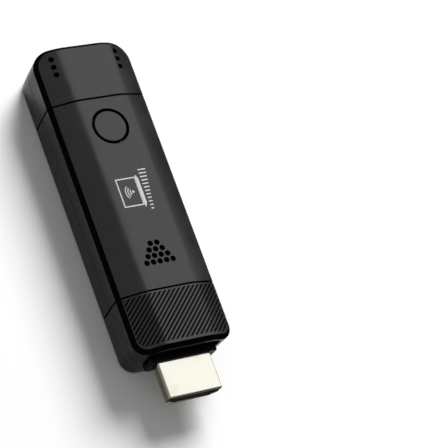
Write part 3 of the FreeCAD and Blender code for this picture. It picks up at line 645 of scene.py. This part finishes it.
# The plug's flanks and mouth colours are painted shade, darker where the sides and the front face
# lie.
PLUG_GOLD = PlatedMetal("plug_pale_gold", (0.97, 0.95, 0.83), 0.13,
                        painted_shade_flanks=(0.29, 0.28, 0.205), painted_shade_mouth=(0.07, 0.068, 0.045))
CONTACT_GOLD = PlatedMetal("contact_gold", (0.9, 0.68, 0.32), 0.25)
TINNED_STEEL = PlatedMetal("tinned_steel", (0.7, 0.7, 0.68), 0.3,
                           lines_along="X", stain=(0.45, 0.43, 0.4))
SPRING_STEEL = PlatedMetal("spring_steel", (0.6, 0.58, 0.54), 0.28,
                           lines_along="X", stain=(0.4, 0.37, 0.33))
BARE_ALUMINIUM = PlatedMetal("bare_aluminium", (0.78, 0.78, 0.79), 0.32,
                             lines_along="X", stain=(0.6, 0.6, 0.6))
INSULATOR_BLACK = Finish("insulator_black", (0.006, 0.006, 0.0065), 0.5)
SWITCH_BLACK = Finish("switch_black", (0.012, 0.012, 0.013), 0.45)
FERRITE_GREY = Finish("ferrite_grey", (0.045, 0.045, 0.05), 0.7)
PAD_BLUE = Finish("pad_blue", (0.36, 0.42, 0.55), 0.75)
CERAMIC_WHITE = Finish("ceramic_white", (0.72, 0.71, 0.66), 0.5)
CERAMIC_TAN = Finish("ceramic_tan", (0.42, 0.3, 0.17), 0.45)
CLOUDY_LENS = Finish("cloudy_lens", (0.85, 0.85, 0.74), 0.35)
BOARD_GREEN = SolderMask("board_green", (0.006, 0.06, 0.025), 0.4)
MARK_WHITE = PrintInk("mark_white", (0.72, 0.72, 0.72), 0.55)
FLOOR_WHITE = StageFloor("floor_white", (0.97, 0.97, 0.97), 0.8)


# Mesh making


def add_piece(name: str, mesh: bpy.types.Mesh, finish: Finish, body: Body) -> bpy.types.Object:
    """Put a mesh in the scene as a piece of the object.

    Args:
        name: The piece's name.
        mesh: Its mesh, already in place.
        finish: What it is dressed in.
        body: The CAD body that it rides on.

    Returns:
        The piece.
    """
    piece = bpy.data.objects.new(name, mesh)
    bpy.context.scene.collection.objects.link(piece)
    mesh.materials.clear()
    mesh.materials.append(finish.material())
    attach(piece, body.value)
    LOG.info("%s: %d faces on %s", name, len(mesh.polygons), body.value)
    return piece


def smooth(mesh: bpy.types.Mesh, degrees: float = 30.0) -> None:
    """Shade a mesh smoothly, apart from edges sharper than an angle.

    Args:
        mesh: The mesh.
        degrees: The sharpest edge that is still shaded smoothly.
    """
    mesh.shade_smooth()
    mesh.set_sharp_from_angle(angle=math.radians(degrees))


def circle(steps: int) -> Array:
    """Points round a circle of radius 1, steps by 2, from +X to +Y."""
    turn = np.linspace(0, ROUND, steps, endpoint=False)
    return np.stack([np.cos(turn), np.sin(turn)], axis=1)


def grid_mesh(name: str, points: Array, wrap_rows: bool, wrap_columns: bool,
              close: bool = False) -> bpy.types.Mesh:
    """A mesh of four-sided faces over a grid of points.

    Corner (i, j) joins its neighbours (i + 1, j), (i + 1, j + 1) and (i, j + 1), and wraps
    where the grid is a ring. The end rings are closed with one flat face each.

    Args:
        name: The mesh's name.
        points: Rows by columns by 3.
        wrap_rows: Whether the last row joins the first.
        wrap_columns: Whether the last column joins the first.
        close: Whether the first and the last row are faces.

    Returns:
        The mesh, with its normals outwards.
    """
    rows, columns = points.shape[:2]
    index = np.arange(rows * columns).reshape(rows, columns)
    below = np.roll(index, -1, axis=0) if wrap_rows else index[1:]
    here = index if wrap_rows else index[:-1]
    if wrap_columns:
        quads = np.stack([here, np.roll(here, -1, 1), np.roll(below, -1, 1), below], axis=-1)
    else:
        quads = np.stack([here[:, :-1], here[:, 1:], below[:, 1:], below[:, :-1]], axis=-1)
    faces = quads.reshape(-1, 4).tolist()
    if close:
        faces += [index[0][::-1].tolist(), index[-1].tolist()]
    mesh = bpy.data.meshes.new(name)
    mesh.from_pydata(points.reshape(-1, 3).tolist(), [], faces)
    turn_outwards(mesh)
    return mesh


def turn_outwards(mesh: bpy.types.Mesh, merge: float = 1e-7) -> None:
    """Merge a mesh's doubles and turn its faces outwards.

    Args:
        mesh: The mesh to mend.
        merge: How near two points are one.
    """
    work = bmesh.new()
    work.from_mesh(mesh)
    bmesh.ops.remove_doubles(work, verts=work.verts, dist=merge)
    bmesh.ops.recalc_face_normals(work, faces=work.faces)
    work.to_mesh(mesh)
    work.free()


@dataclass(frozen=True)
class MouldedCopy:
    """A CAD node's mesh, merged, with its edges rounded as a mould leaves them."""

    width: float = 0.06 * MM
    segments: int = 3
    sharpest: float = math.radians(22)
    merge: float = 2e-6
    flat: float = math.radians(0.4)
    face_weight: int = 50

    def merged(self, node: str) -> bpy.types.Mesh:
        """A node's mesh with its doubles merged and its flat faces whole.

        Args:
            node: The CAD node.

        Returns:
            The new mesh.
        """
        work = bmesh.new()
        work.from_mesh(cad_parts[node].data)
        bmesh.ops.remove_doubles(work, verts=work.verts, dist=self.merge)
        bmesh.ops.dissolve_limit(work, angle_limit=self.flat, verts=work.verts,
                                 edges=work.edges)
        bmesh.ops.connect_verts_concave(work, faces=work.faces)
        mesh = bpy.data.meshes.new(node + "_moulded")
        work.to_mesh(mesh)
        work.free()
        smooth(mesh)
        return mesh

    def make(self, node: str, finish: Finish, body: Body, slot: str,
             choose: Callable[[Array, Array], Array] | None = None) -> None:
        """Copy a node, round its edges and let the copy stand for it.

        Args:
            node: The CAD node.
            finish: What the copy is dressed in.
            body: The body that it rides on.
            slot: A material slot's name. It is not used.
            choose: Gives the zone of each face from the faces' centres and normals.
        """
        mesh = self.merged(node)
        piece = add_piece(node + "_moulded", mesh, finish, body)
        if choose is not None:
            # Gap and band faces take painted shade: darker materials without the casing's gloss.
            for other in (GAP_PAINTED_SHADE, BAND_PAINTED_SHADE, WALL_BLACK):
                mesh.materials.append(other.material())
            faces = np.empty((2, len(mesh.polygons) * 3), dtype=np.float32)
            mesh.polygons.foreach_get("center", faces[0])
            mesh.polygons.foreach_get("normal", faces[1])
            zones = choose(faces[0].reshape(-1, 3), faces[1].reshape(-1, 3))
            mesh.polygons.foreach_set("material_index", zones.astype(np.int32))
        edge = piece.modifiers.new("rounded_edges", "BEVEL")
        edge.width = self.width
        edge.segments = self.segments
        edge.limit_method = "ANGLE"
        edge.angle_limit = self.sharpest
        edge.miter_outer = "MITER_ARC"
        shading = piece.modifiers.new("flat_faces_stay_flat", "WEIGHTED_NORMAL")
        shading.weight = self.face_weight
        shading.keep_sharp = True
        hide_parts(node)


# Sub-assemblies


@dataclass(frozen=True)
class TopFace:
    """The casing's faceted top: a flat, a round fold on each side, and a slope beyond."""

    height: float = CASING_TOP
    flat_half: float = 5.9 * MM
    rim_half: float = 12.75 * MM
    rim_drop: float = 2.05 * MM
    fold_radius: float = 12.0 * MM

    def at(self, x: Array) -> Array:
        """Height of the top at a distance from the middle.

        The slope's angle is atan(drop / run). The fold is an arc tangent to the flat and to
        the slope, so it starts radius * tan(angle / 2) inside the corner.

        Args:
            x: Distances along X.

        Returns:
            The heights.
        """
        slope = math.atan2(self.rim_drop, self.rim_half - self.flat_half)
        reach = self.fold_radius * math.tan(slope / 2)
        away = np.abs(x) - (self.flat_half - reach)
        end = reach * (1 + math.cos(slope))
        arc = self.fold_radius - np.sqrt(np.maximum(self.fold_radius ** 2 - away ** 2, 0.0))
        line = (away - reach) * math.tan(slope)
        drop = np.where(away <= 0, 0.0, np.where(away < end, arc, line))
        return self.height - drop


@dataclass
class Casing:
    """The six mouldings of the casing, and what each of their faces is dressed in."""

    rounding: MouldedCopy = MouldedCopy()
    top: TopFace = TopFace()
    nodes: tuple[str, ...] = ("front_cap_upper", "front_cap_lower", "upper_shell",
                              "lower_shell", "rear_cap_upper", "rear_cap_lower")
    seam: float = 0.45 * MM
    grip_half: float = 11.62 * MM
    grip_front: float = CASING_FRONT + 1.63 * MM
    grip_corner: float = 2.22 * MM
    groove: Range = (0.08 * MM, 0.6 * MM)
    well_radius: float = 4.6 * MM
    slack: float = 0.01 * MM
    rim_corners: tuple[float, float] = (3.5 * MM, 4.8 * MM)
    band_lean: Range = (0.3, 0.85)
    band_width: float = 1.06 * MM
    band_foot: float = 10 * MM

    def in_gap(self, centres: Array, depth: Array) -> Array:
        """Which faces are inside a seam, a groove of the grip or the button's well.

        A seam is a slice along Y. A groove lies a fixed range of depths below the top face,
        inside a rectangle with two round corners, and the well is within a radius of the
        button's axis.

        Args:
            centres: Face centres, N by 3.
            depth: How far each lies below the top face.

        Returns:
            Whether each face is in a gap.
        """
        x, y = centres[:, 0], centres[:, 1]
        front, rear = (np.abs(y - middle) < self.seam / 2 + self.slack
                       for middle in (FRONT_SEAM - self.seam / 2, REAR_SEAM + self.seam / 2))
        beside = np.maximum(np.abs(x) - (self.grip_half - self.grip_corner), 0.0)
        ahead = np.maximum(self.grip_front + self.grip_corner - y, 0.0)
        grip = ((np.abs(x) < self.grip_half) & (y < FRONT_SEAM)
                & (np.hypot(beside, ahead) < self.grip_corner))
        grooves = grip & (depth > self.groove[0]) & (depth < self.groove[1])
        well = (np.hypot(x, y - BUTTON_Y) < self.well_radius) & (depth > self.slack)
        return front | rear | grooves | well

    def in_band(self, centres: Array, lean: Array, depth: Array) -> Array:
        """Which faces are on the edge band: those that lean within its width of the rim.

        The rim is a rectangle with two pairs of round corners. Let a and b be how far a
        point lies past the corner's centre along X and Y. The point's distance inward of
        the rim is the corner's radius, less the hypotenuse of a and b with negatives as 0,
        less the larger of the two where both are negative.

        Args:
            centres: Face centres, N by 3.
            lean: The upward component of each face's normal.
            depth: How far each face lies below the top face.

        Returns:
            Whether each face is on the band.
        """
        x, y, z = centres.T
        middle, half = (CASING_FRONT + CASING_REAR) / 2, (CASING_REAR - CASING_FRONT) / 2
        corner = np.where(y < middle, *self.rim_corners)
        over = np.stack([np.abs(x) - self.top.rim_half, np.abs(y - middle) - half]) + corner
        inward = corner - (np.hypot(*np.maximum(over, 0.0)) + np.minimum(over.max(0), 0.0))
        return ((lean > self.band_lean[0]) & (lean < self.band_lean[1])
                & (inward < self.band_width) & (depth < self.band_width * 2)
                & (z > self.band_foot))

    def choose(self, centres: Array, normals: Array) -> Array:
        """The zone of each face.

        Args:
            centres: Face centres, N by 3.
            normals: Face normals, N by 3.

        Returns:
            The zones: a gap before the band, and the band before a wall.
        """
        lean = normals[:, 2]
        depth = self.top.at(centres[:, 0]) - centres[:, 2]
        return np.select([self.in_gap(centres, depth), self.in_band(centres, lean, depth),
                          lean < self.band_lean[0]],
                         [Zone.GAP, Zone.BAND, Zone.WALL], Zone.FINISH)

    def build(self) -> None:
        """Make each moulding from its CAD node."""
        for node in self.nodes:
            self.rounding.make(node, CASING_BLACK, Body.CASING, "casing_plastic",
                               self.choose)


@dataclass
class PrintedSign:
    """A plain printed sign on the top: a laptop, radio arcs and a row of growing bars."""

    top: TopFace = TopFace()
    ink: float = 0.02 * MM
    line: float = 0.3 * MM
    screen_x: Range = (-3.7 * MM, 1.2 * MM)
    screen_y: Range = (1.1 * MM, 8.1 * MM)
    base_x: tuple[float, ...] = (1.4 * MM, 1.72 * MM, 2.04 * MM)
    base_ends: tuple[Range, ...] = ((0.35 * MM, 8.75 * MM), (0.7 * MM, 8.4 * MM),
                                    (1.5 * MM, 7.6 * MM))
    source: tuple[float, float] = (-0.35 * MM, 4.6 * MM)
    source_radii: tuple[float, ...] = (0.02 * MM, 0.15 * MM, 0.3 * MM)
    source_steps: int = 24
    arc_radii: tuple[float, ...] = (0.75 * MM, 1.35 * MM, 1.95 * MM)
    arc_ends: Range = (math.radians(130), math.radians(230))
    arc_steps: int = 17
    arc_line: float = 0.8
    bars: int = 12
    bar_x: float = 2.65 * MM
    bar_y: Range = (-0.2 * MM, 9.8 * MM)
    bar_lengths: Range = (0.7 * MM, 2.0 * MM)

    def ribbon(self, path: Array, width: float, name: str, closed: bool = False) -> None:
        """A stroke of ink: points on both sides of a path, laid on the top face.

        At each point the stroke runs along the sum of the two segments' unit sideways
        directions, made long enough that both edges stay parallel to the path.

        Args:
            path: Points of the middle line, N by 2, in metres.
            width: The stroke's width.
            name: The piece's name.
            closed: Whether the path is a loop.
        """
        ahead = np.roll(path, -1, 0) - path
        behind = path - np.roll(path, 1, 0)
        if not closed:
            ahead[-1], behind[0] = behind[-1], ahead[0]
        sideways = []
        for step in (ahead, behind):
            unit = step / np.linalg.norm(step, axis=1, keepdims=True)
            sideways.append(np.stack([-unit[:, 1], unit[:, 0]], axis=1))
        mitre = sideways[0] + sideways[1]
        mitre /= np.sum(mitre * sideways[0], axis=1, keepdims=True)
        across = np.linspace(-0.5, 0.5, 3) * width
        self.lay(path[:, None, :] + mitre[:, None, :] * across[None, :, None], name, closed)

    def lay(self, flat: Array, name: str, wrap: bool) -> None:
        """Lay a grid of flat points on the top face, with the ink's thickness.

        Args:
            flat: Rows by columns by 2.
            name: The piece's name.
            wrap: Whether the last row joins the first.
        """
        base = self.top.at(flat[..., 0])
        upper, lower = (np.concatenate([flat, (base + lift)[..., None]], axis=-1)
                        for lift in (self.ink, -self.ink))
        ring = np.concatenate([upper, lower[:, ::-1]], axis=1)
        mesh = grid_mesh(name, ring, wrap_rows=wrap, wrap_columns=True, close=not wrap)
        add_piece(name, mesh, MARK_WHITE, Body.CASING)

    def laptop(self) -> None:
        """Print the screen's outline, and the base as a strip that narrows outwards."""
        (left, right), (low, high) = self.screen_x, self.screen_y
        corners = np.array([(left, low), (right, low), (right, high), (left, high)])
        self.ribbon(corners, self.line, "sign_screen", closed=True)
        rows = [[(x, ends[end]) for x, ends in zip(self.base_x, self.base_ends)]
                for end in (LOW, HIGH)]
        self.lay(np.array(rows), "sign_base", wrap=False)

    def radio(self) -> None:
        """Print three arcs round a dot."""
        source = np.array(self.source)
        turn = np.linspace(*self.arc_ends, self.arc_steps)
        bow = np.stack([np.cos(turn), np.sin(turn)], axis=1)
        for order, radius in enumerate(self.arc_radii):
            self.ribbon(source + bow * radius, self.line * self.arc_line, f"sign_arc_{order}")
        dot = circle(self.source_steps)[:, None, :] * np.array(self.source_radii)[:, None]
        self.lay(source + dot, "sign_source", wrap=True)

    def build(self) -> None:
        """Print the laptop, the arcs on its screen and the row of bars beside it."""
        self.laptop()
        self.radio()
        for order, (y, length) in enumerate(zip(np.linspace(*self.bar_y, self.bars),
                                                np.linspace(*self.bar_lengths, self.bars))):
            bar = np.array([(self.bar_x, y), (self.bar_x + length, y)])
            self.ribbon(bar, self.line, f"sign_bar_{order}")


@dataclass
class PushButton:
    """The round button, and the spring dome that flattens under it."""

    rounding: MouldedCopy = MouldedCopy()
    floor: float = side("switch_dome", LOW, "Z")
    rise: float = 0.45 * MM
    foot: float = 1.5 * MM
    sheet: float = 0.1 * MM
    travel: float = 0.3 * MM
    least_lean: float = 0.02
    rings: int = 12
    spokes: int = 64

    def dome(self) -> bpy.types.Mesh:
        """The spring dome: a thin cap of a ball that stands on the switch's floor.

        A cap of rise h on a circle of radius a has the ball's radius a^2 / 2h + h / 2. The
        outline runs up the outer cap and back down the inner one, turned round Z.

        Returns:
            The dome's mesh.
        """
        ball = self.foot ** 2 / (2 * self.rise) + self.rise / 2
        middle = self.floor + self.rise - ball
        caps = []
        for radius, order in ((ball, 1), (ball - self.sheet, -1)):
            foot_lean = math.acos((self.floor - middle) / radius)
            lean = np.linspace(foot_lean, self.least_lean, self.rings)[::order]
            caps.append(np.stack([radius * np.sin(lean), middle + radius * np.cos(lean)], 1))
        outer, inner = caps
        outline = np.concatenate([outer, [[0.0, outer[-1, 1]]], [[0.0, inner[0, 1]]], inner])
        flat = outline[:, None, :1] * circle(self.spokes) + [0.0, BUTTON_Y]
        height = np.broadcast_to(outline[:, None, 1:], flat.shape[:2] + (1,))
        return grid_mesh("switch_dome_spring", np.concatenate([flat, height], axis=-1),
                         wrap_rows=True, wrap_columns=True)

    def build(self) -> None:
        """Dress the button, and make the spring dome in place of its node."""
        self.rounding.make("button_cap", BUTTON_BLACK, Body.BUTTON, "button_plastic")
        dome = add_piece("switch_dome_spring", self.dome(), SPRING_STEEL, Body.CASING)
        smooth(dome.data, 50.0)
        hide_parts("switch_dome")
        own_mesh(dome)


@dataclass
class VideoPlug:
    """The plug's metal shell, its insulator and contacts, and the collar at its base."""

    rounding: MouldedCopy = MouldedCopy()
    width: float = 2 * side("plug_shell", HIGH, "X")
    top: float = side("plug_shell", HIGH, "Z")
    bottom: float = side("plug_shell", LOW, "Z")
    shoulder_drop: float = 2.7 * MM
    base_width: float = 9.5 * MM
    corner: float = 0.5 * MM
    wall: float = 0.3 * MM
    tip: float = side("plug_shell", LOW, "Y")
    tail: float = CASING_FRONT + 4.25 * MM
    lip: float = 0.42 * MM
    lip_steps: int = 8
    roll_in: float = 0.46 * MM
    lip_inset: tuple[float, ...] = (0.52 * MM, 0.55 * MM, 0.48 * MM, 0.32 * MM)
    lip_depth: tuple[float, ...] = (0.03 * MM, 0.12 * MM, 0.45 * MM, 0.7 * MM)
    leg_end: float = side("plug_shell", HIGH, "Y")
    leg_height: float = 0.825 * MM
    leg_taper: float = 0.08 * MM
    leg_end_share: float = 0.8
    leg_steps: int = 32

    def outline(self, steps: int = 7) -> tuple[Array, Array]:
        """The shell's outline, with its outward direction at each point.

        Each corner of the six-cornered plug is an arc of the corner's radius, tangent to
        both sides: its centre lies on the corner's bisector.

        Args:
            steps: Points on each corner's arc.

        Returns:
            Points in the XZ plane, N by 2, and unit outward directions, N by 2.
        """
        half, base = self.width / 2, self.base_width / 2
        shoulder = self.top - self.shoulder_drop
        corners = np.array([(half, self.top), (-half, self.top), (-half, shoulder),
                            (-base, self.bottom), (base, self.bottom), (half, shoulder)])
        before = corners - np.roll(corners, 1, axis=0)
        before /= np.linalg.norm(before, axis=1, keepdims=True)
        ahead = np.roll(before, -1, axis=0)
        first = np.stack([before[:, 1], -before[:, 0]], axis=1)
        last = np.stack([ahead[:, 1], -ahead[:, 0]], axis=1)
        lean = np.sum(first * last, axis=1, keepdims=True)
        centres = corners - (first + last) * self.corner / (1 + lean)
        start = np.arctan2(first[:, 1], first[:, 0])
        turn = np.arctan2(last[:, 1], last[:, 0]) - start
        turn = (turn + math.pi) % ROUND - math.pi
        angle = start[:, None] + turn[:, None] * np.linspace(0, 1, steps)[None, :]
        out = np.stack([np.cos(angle), np.sin(angle)], axis=-1)
        points = centres[:, None, :] + out * self.corner
        return points.reshape(-1, 2), out.reshape(-1, 2)

    def shell(self) -> bpy.types.Mesh:
        """Carry the wall's closed profile round the outline.

        The profile is how far in from the outline and how far along Y each point is. It
        runs forward outside, round a quarter turn at the open front, and back inside the wall.

        Returns:
            The shell's mesh.
        """
        turn = np.linspace(0, math.pi / 2, self.lip_steps)
        inset = np.concatenate([[0.0, 0.0], self.roll_in * (1 - np.cos(turn)),
                                self.lip_inset, [self.wall]])
        along = np.concatenate([[self.tail, self.tip + 2 * self.lip],
                                self.tip + self.lip * (1 - np.sin(turn)),
                                self.tip + np.array(self.lip_depth), [self.tail]])
        points, out = self.outline()
        flat = points[None, :, :] - out[None, :, :] * inset[:, None, None]
        deep = np.broadcast_to(along[:, None], flat.shape[:2])
        return grid_mesh("plug_shell_drawn", np.stack([flat[..., 0], deep, flat[..., 1]], -1),
                         wrap_rows=True, wrap_columns=True)

    def legs(self) -> bpy.types.Mesh:
        """The two tails of the shell that hold it on the board, as rounded bars.

        Each is a rounded rectangle in the XY plane, carried up Z with its ends drawn in.
        The rectangle takes the fourth root of each coordinate of a circle.

        Returns:
            One mesh of both bars.
        """
        ring = circle(self.leg_steps)
        ring = np.sign(ring) * np.abs(ring) ** 0.25
        ends = np.array([self.tail - self.wall, self.leg_end])
        size = np.array([self.wall, ends[1] - ends[0]]) / 2
        heights = BOARD_TOP + np.array([0.0, self.leg_taper, self.leg_height - self.leg_taper,
                                        self.leg_height])
        draw = np.array([self.leg_end_share, 1.0, 1.0, self.leg_end_share])
        flat = ring[None] * size * draw[:, None, None] + [0.0, ends.mean()]
        rows = np.concatenate([flat, np.broadcast_to(heights[:, None, None],
                                                     flat.shape[:2] + (1,))], axis=-1)
        beside = (self.width - self.wall) / 2
        pair = [grid_mesh("plug_leg", rows + [sign * beside, 0.0, 0.0],
                          wrap_rows=False, wrap_columns=True, close=True) for sign in (-1, 1)]
        work = bmesh.new()
        for mesh in pair:
            work.from_mesh(mesh)
        work.to_mesh(pair[0])
        work.free()
        bpy.data.meshes.remove(pair[1])
        return pair[0]

    def build(self) -> None:
        """Draw the shell and its legs, and mould the insulator and the collar."""
        shell = add_piece("plug_shell_drawn", self.shell(), PLUG_GOLD, Body.CASING)
        smooth(shell.data, 50.0)
        legs = add_piece("plug_shell_legs", self.legs(), PLUG_GOLD, Body.CASING)
        smooth(legs.data, 40.0)
        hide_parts("plug_shell")
        self.rounding.make("plug_insulator", INSULATOR_BLACK, Body.CASING, "insulator_plastic")
        self.rounding.make("plug_collar", COLLAR_BLACK_AND_SHADE, Body.CASING, "collar_plastic")


@dataclass
class KeptNodes:
    """CAD nodes that show, or lie inside, in their own shape with a finish."""

    finishes: tuple[tuple[Finish, tuple[str, ...]], ...] = (
        (SWITCH_BLACK, ("switch_base", "switch_stem")),
        (SPRING_STEEL, ("switch_frame_plate", "board_screws")),
        (TINNED_STEEL, ("switch_terminals", "power_socket_shell", "clock_crystal",
                        "shield_can")),
        (CONTACT_GOLD, ("plug_contacts_upper", "plug_contacts_lower",
                        "power_socket_contacts")),
        (INSULATOR_BLACK, ("power_socket_tongue",)),
        (BOARD_GREEN, ("main_board", "radio_carrier")),
        (PAD_BLUE, ("thermal_pad",)),
        (BARE_ALUMINIUM, ("heat_spreader",)),
        (CLOUDY_LENS, ("status_light_left", "status_light_right")),
        (FERRITE_GREY, ("power_inductor_left", "power_inductor_right")),
        (CERAMIC_WHITE, ("antenna_left", "antenna_right")),
        (CERAMIC_TAN, ("chip_capacitors",)))
    chip_pitches: tuple[tuple[str, float], ...] = (
        ("signal_driver_chip", 0.4 * MM), ("video_processor", 0.65 * MM),
        ("memory_chip", 0.8 * MM), ("flash_chip", 1.27 * MM),
        ("radio_chip", 0.5 * MM), ("power_regulator", 0.65 * MM))
    epoxy: Colour = (0.02, 0.02, 0.021)
    epoxy_roughness: float = 0.6

    def dress(self, node: str, finish: Finish) -> None:
        """Give a kept node its material.

        Args:
            node: The CAD node.
            finish: What it is dressed in.
        """
        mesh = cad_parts[node].data
        mesh.materials.clear()
        mesh.materials.append(finish.material())
        LOG.info("%s: kept, in %s", node, finish.name)

    def build(self) -> None:
        """Dress every kept node, and give each chip leads at its own pitch.

        A chip that ends below the board's top hangs under the board, and any other stands
        on its own lowest face.
        """
        for finish, nodes in self.finishes:
            for node in nodes:
                self.dress(node, finish)
        for node, pitch in self.chip_pitches:
            hangs = side(node, HIGH, "Z") < BOARD_TOP
            board = BOARD_BOTTOM if hangs else side(node, LOW, "Z")
            self.dress(node, ChipPackage(node + "_epoxy", self.epoxy, self.epoxy_roughness,
                                         node, board, pitch))


# Stage


@dataclass(frozen=True)
class Lamp:
    """A flat soft lamp that faces the object.

    Args:
        name: The lamp's name.
        towards: Direction from the object to the lamp.
        distance: How far off it is.
        size: The panel's width, and its length, which runs along Y.
        radiance: How bright its face is, where 1 is white.
        roll: Turn of the panel in its own plane, in degrees.
        shown: Where its light shows.
    """

    name: str
    towards: Point
    distance: float
    size: tuple[float, float]
    radiance: float
    roll: float = 0.0
    shown: Shown = Shown.EVERYWHERE

    def hang(self, centre: Vector) -> None:
        """Put the lamp in the scene.

        Args:
            centre: The point that it faces.
        """
        light = bpy.data.lights.new(self.name, "AREA")
        light.shape = "RECTANGLE"
        light.size, light.size_y = self.size
        light.energy = self.radiance * self.size[0] * self.size[1] * math.pi
        lamp = bpy.data.objects.new(self.name, light)
        out = Vector(self.towards).normalized()
        lamp.location = centre + out * self.distance
        along = Vector((0.0, 1.0, 0.0))
        along = (along - out * along.dot(out)).normalized()
        panel = Matrix((along.cross(out), along, out)).transposed()
        lamp.rotation_mode = "QUATERNION"
        lamp.rotation_quaternion = panel.to_quaternion() @ Quaternion(
            (0.0, 0.0, 1.0), math.radians(self.roll))
        lamp.visible_camera = False
        lamp.visible_glossy = self.shown is not Shown.IN_DIFFUSE
        lamp.visible_diffuse = self.shown is not Shown.IN_GLOSS
        bpy.context.scene.collection.objects.link(lamp)


@dataclass
class Studio:
    """Floor, soft lamps, world and camera."""

    lamps: tuple[Lamp, ...] = (
        Lamp("top_box", (0.506, 0.44, 0.742), 0.58, (0.505, 0.7), 0.74,
             roll=20.0, shown=Shown.IN_GLOSS),
        Lamp("corner_box", (0.87, 0.33, 0.42), 0.7, (0.2, 0.3), 0.11),
        Lamp("rear_key", (0.47, 0.66, 0.58), 2.9, (1.5, 1.5), 17.5, shown=Shown.IN_DIFFUSE))
    centre: Point = (0.0, 0.0, 0.01)
    floor_half: float = 3.0
    floor_height: float = -0.02 * MM
    eye: Point = (-0.2336055, -0.1716124, 0.4470736)
    heading: float = -56.9734
    tilt: float = 34.8657
    roll: float = 41.1755
    focal_pixels: float = 2267.2
    frame_pixels: float = 448.0
    sensor: float = 36.0
    clip: Range = (0.01, 20.0)
    foot: float = 0.9
    walls: float = 0.03
    ceiling: float = 0.33
    foot_ends: Range = (0.04, 0.1)
    ceiling_starts: Range = (0.4, 0.75)

    def floor(self) -> None:
        """A wide pale floor just under the casing, so that the two faces stay apart."""
        half, low = self.floor_half, self.floor_height
        mesh = bpy.data.meshes.new("floor")
        mesh.from_pydata([(-half, -half, low), (half, -half, low), (half, half, low),
                          (-half, half, low)], [], [(0, 1, 2, 3)])
        mesh.materials.append(FLOOR_WHITE.material())
        floor = bpy.data.objects.new("floor", mesh)
        bpy.context.scene.collection.objects.link(floor)

    def camera(self) -> None:
        """The photograph's camera, with the angles and the focal length of the fitted view.

        It starts looking straight down with its top along +Y. It is rolled round Z, tilted
        up round X, and turned round Z to its heading, by angles in degrees.
        """
        data = bpy.data.cameras.new("camera")
        data.sensor_width = self.sensor
        data.lens = self.sensor * self.focal_pixels / self.frame_pixels
        data.clip_start, data.clip_end = self.clip
        camera = bpy.data.objects.new("camera", data)
        heading, tilt, roll = (
            Matrix.Rotation(math.radians(angle), 4, axis)
            for angle, axis in ((self.heading, "Z"), (self.tilt, "X"), (self.roll, "Z")))
        camera.matrix_world = Matrix.Translation(self.eye) @ heading @ tilt @ roll
        bpy.context.scene.collection.objects.link(camera)
        bpy.context.scene.camera = camera

    def world(self) -> None:
        """A room with a pale ceiling, dim walls and a white foot along the floor.

        The brightness is a function of the direction's height alone, with smooth steps.
        """
        world = bpy.data.worlds.new("room")
        graph = Graph(world, "Generated")
        height = graph.axis("Z")
        low = graph.span(height, self.foot_ends, to=(self.foot, self.walls))
        high = graph.span(height, self.ceiling_starts, to=(0.0, self.ceiling - self.walls))
        back = graph.node("ShaderNodeBackground", {"Strength": graph.math("ADD", low, high)})
        graph.node("ShaderNodeOutputWorld", {"Surface": back.outputs[0]})
        bpy.context.scene.world = world

    def build(self) -> None:
        """Set up the stage and the view."""
        self.floor()
        self.world()
        for lamp in self.lamps:
            lamp.hang(Vector(self.centre))
        self.camera()
        bpy.context.scene.view_settings.view_transform = "Standard"


def main() -> None:
    """Build the stage and every piece, in order."""
    logging.basicConfig(level=logging.INFO, format="%(message)s")
    for part in (Studio(), Casing(), PrintedSign(), PushButton(), VideoPlug(), KeptNodes()):
        part.build()
        LOG.info("%s built", type(part).__name__)


if __name__ == "__main__":
    main()
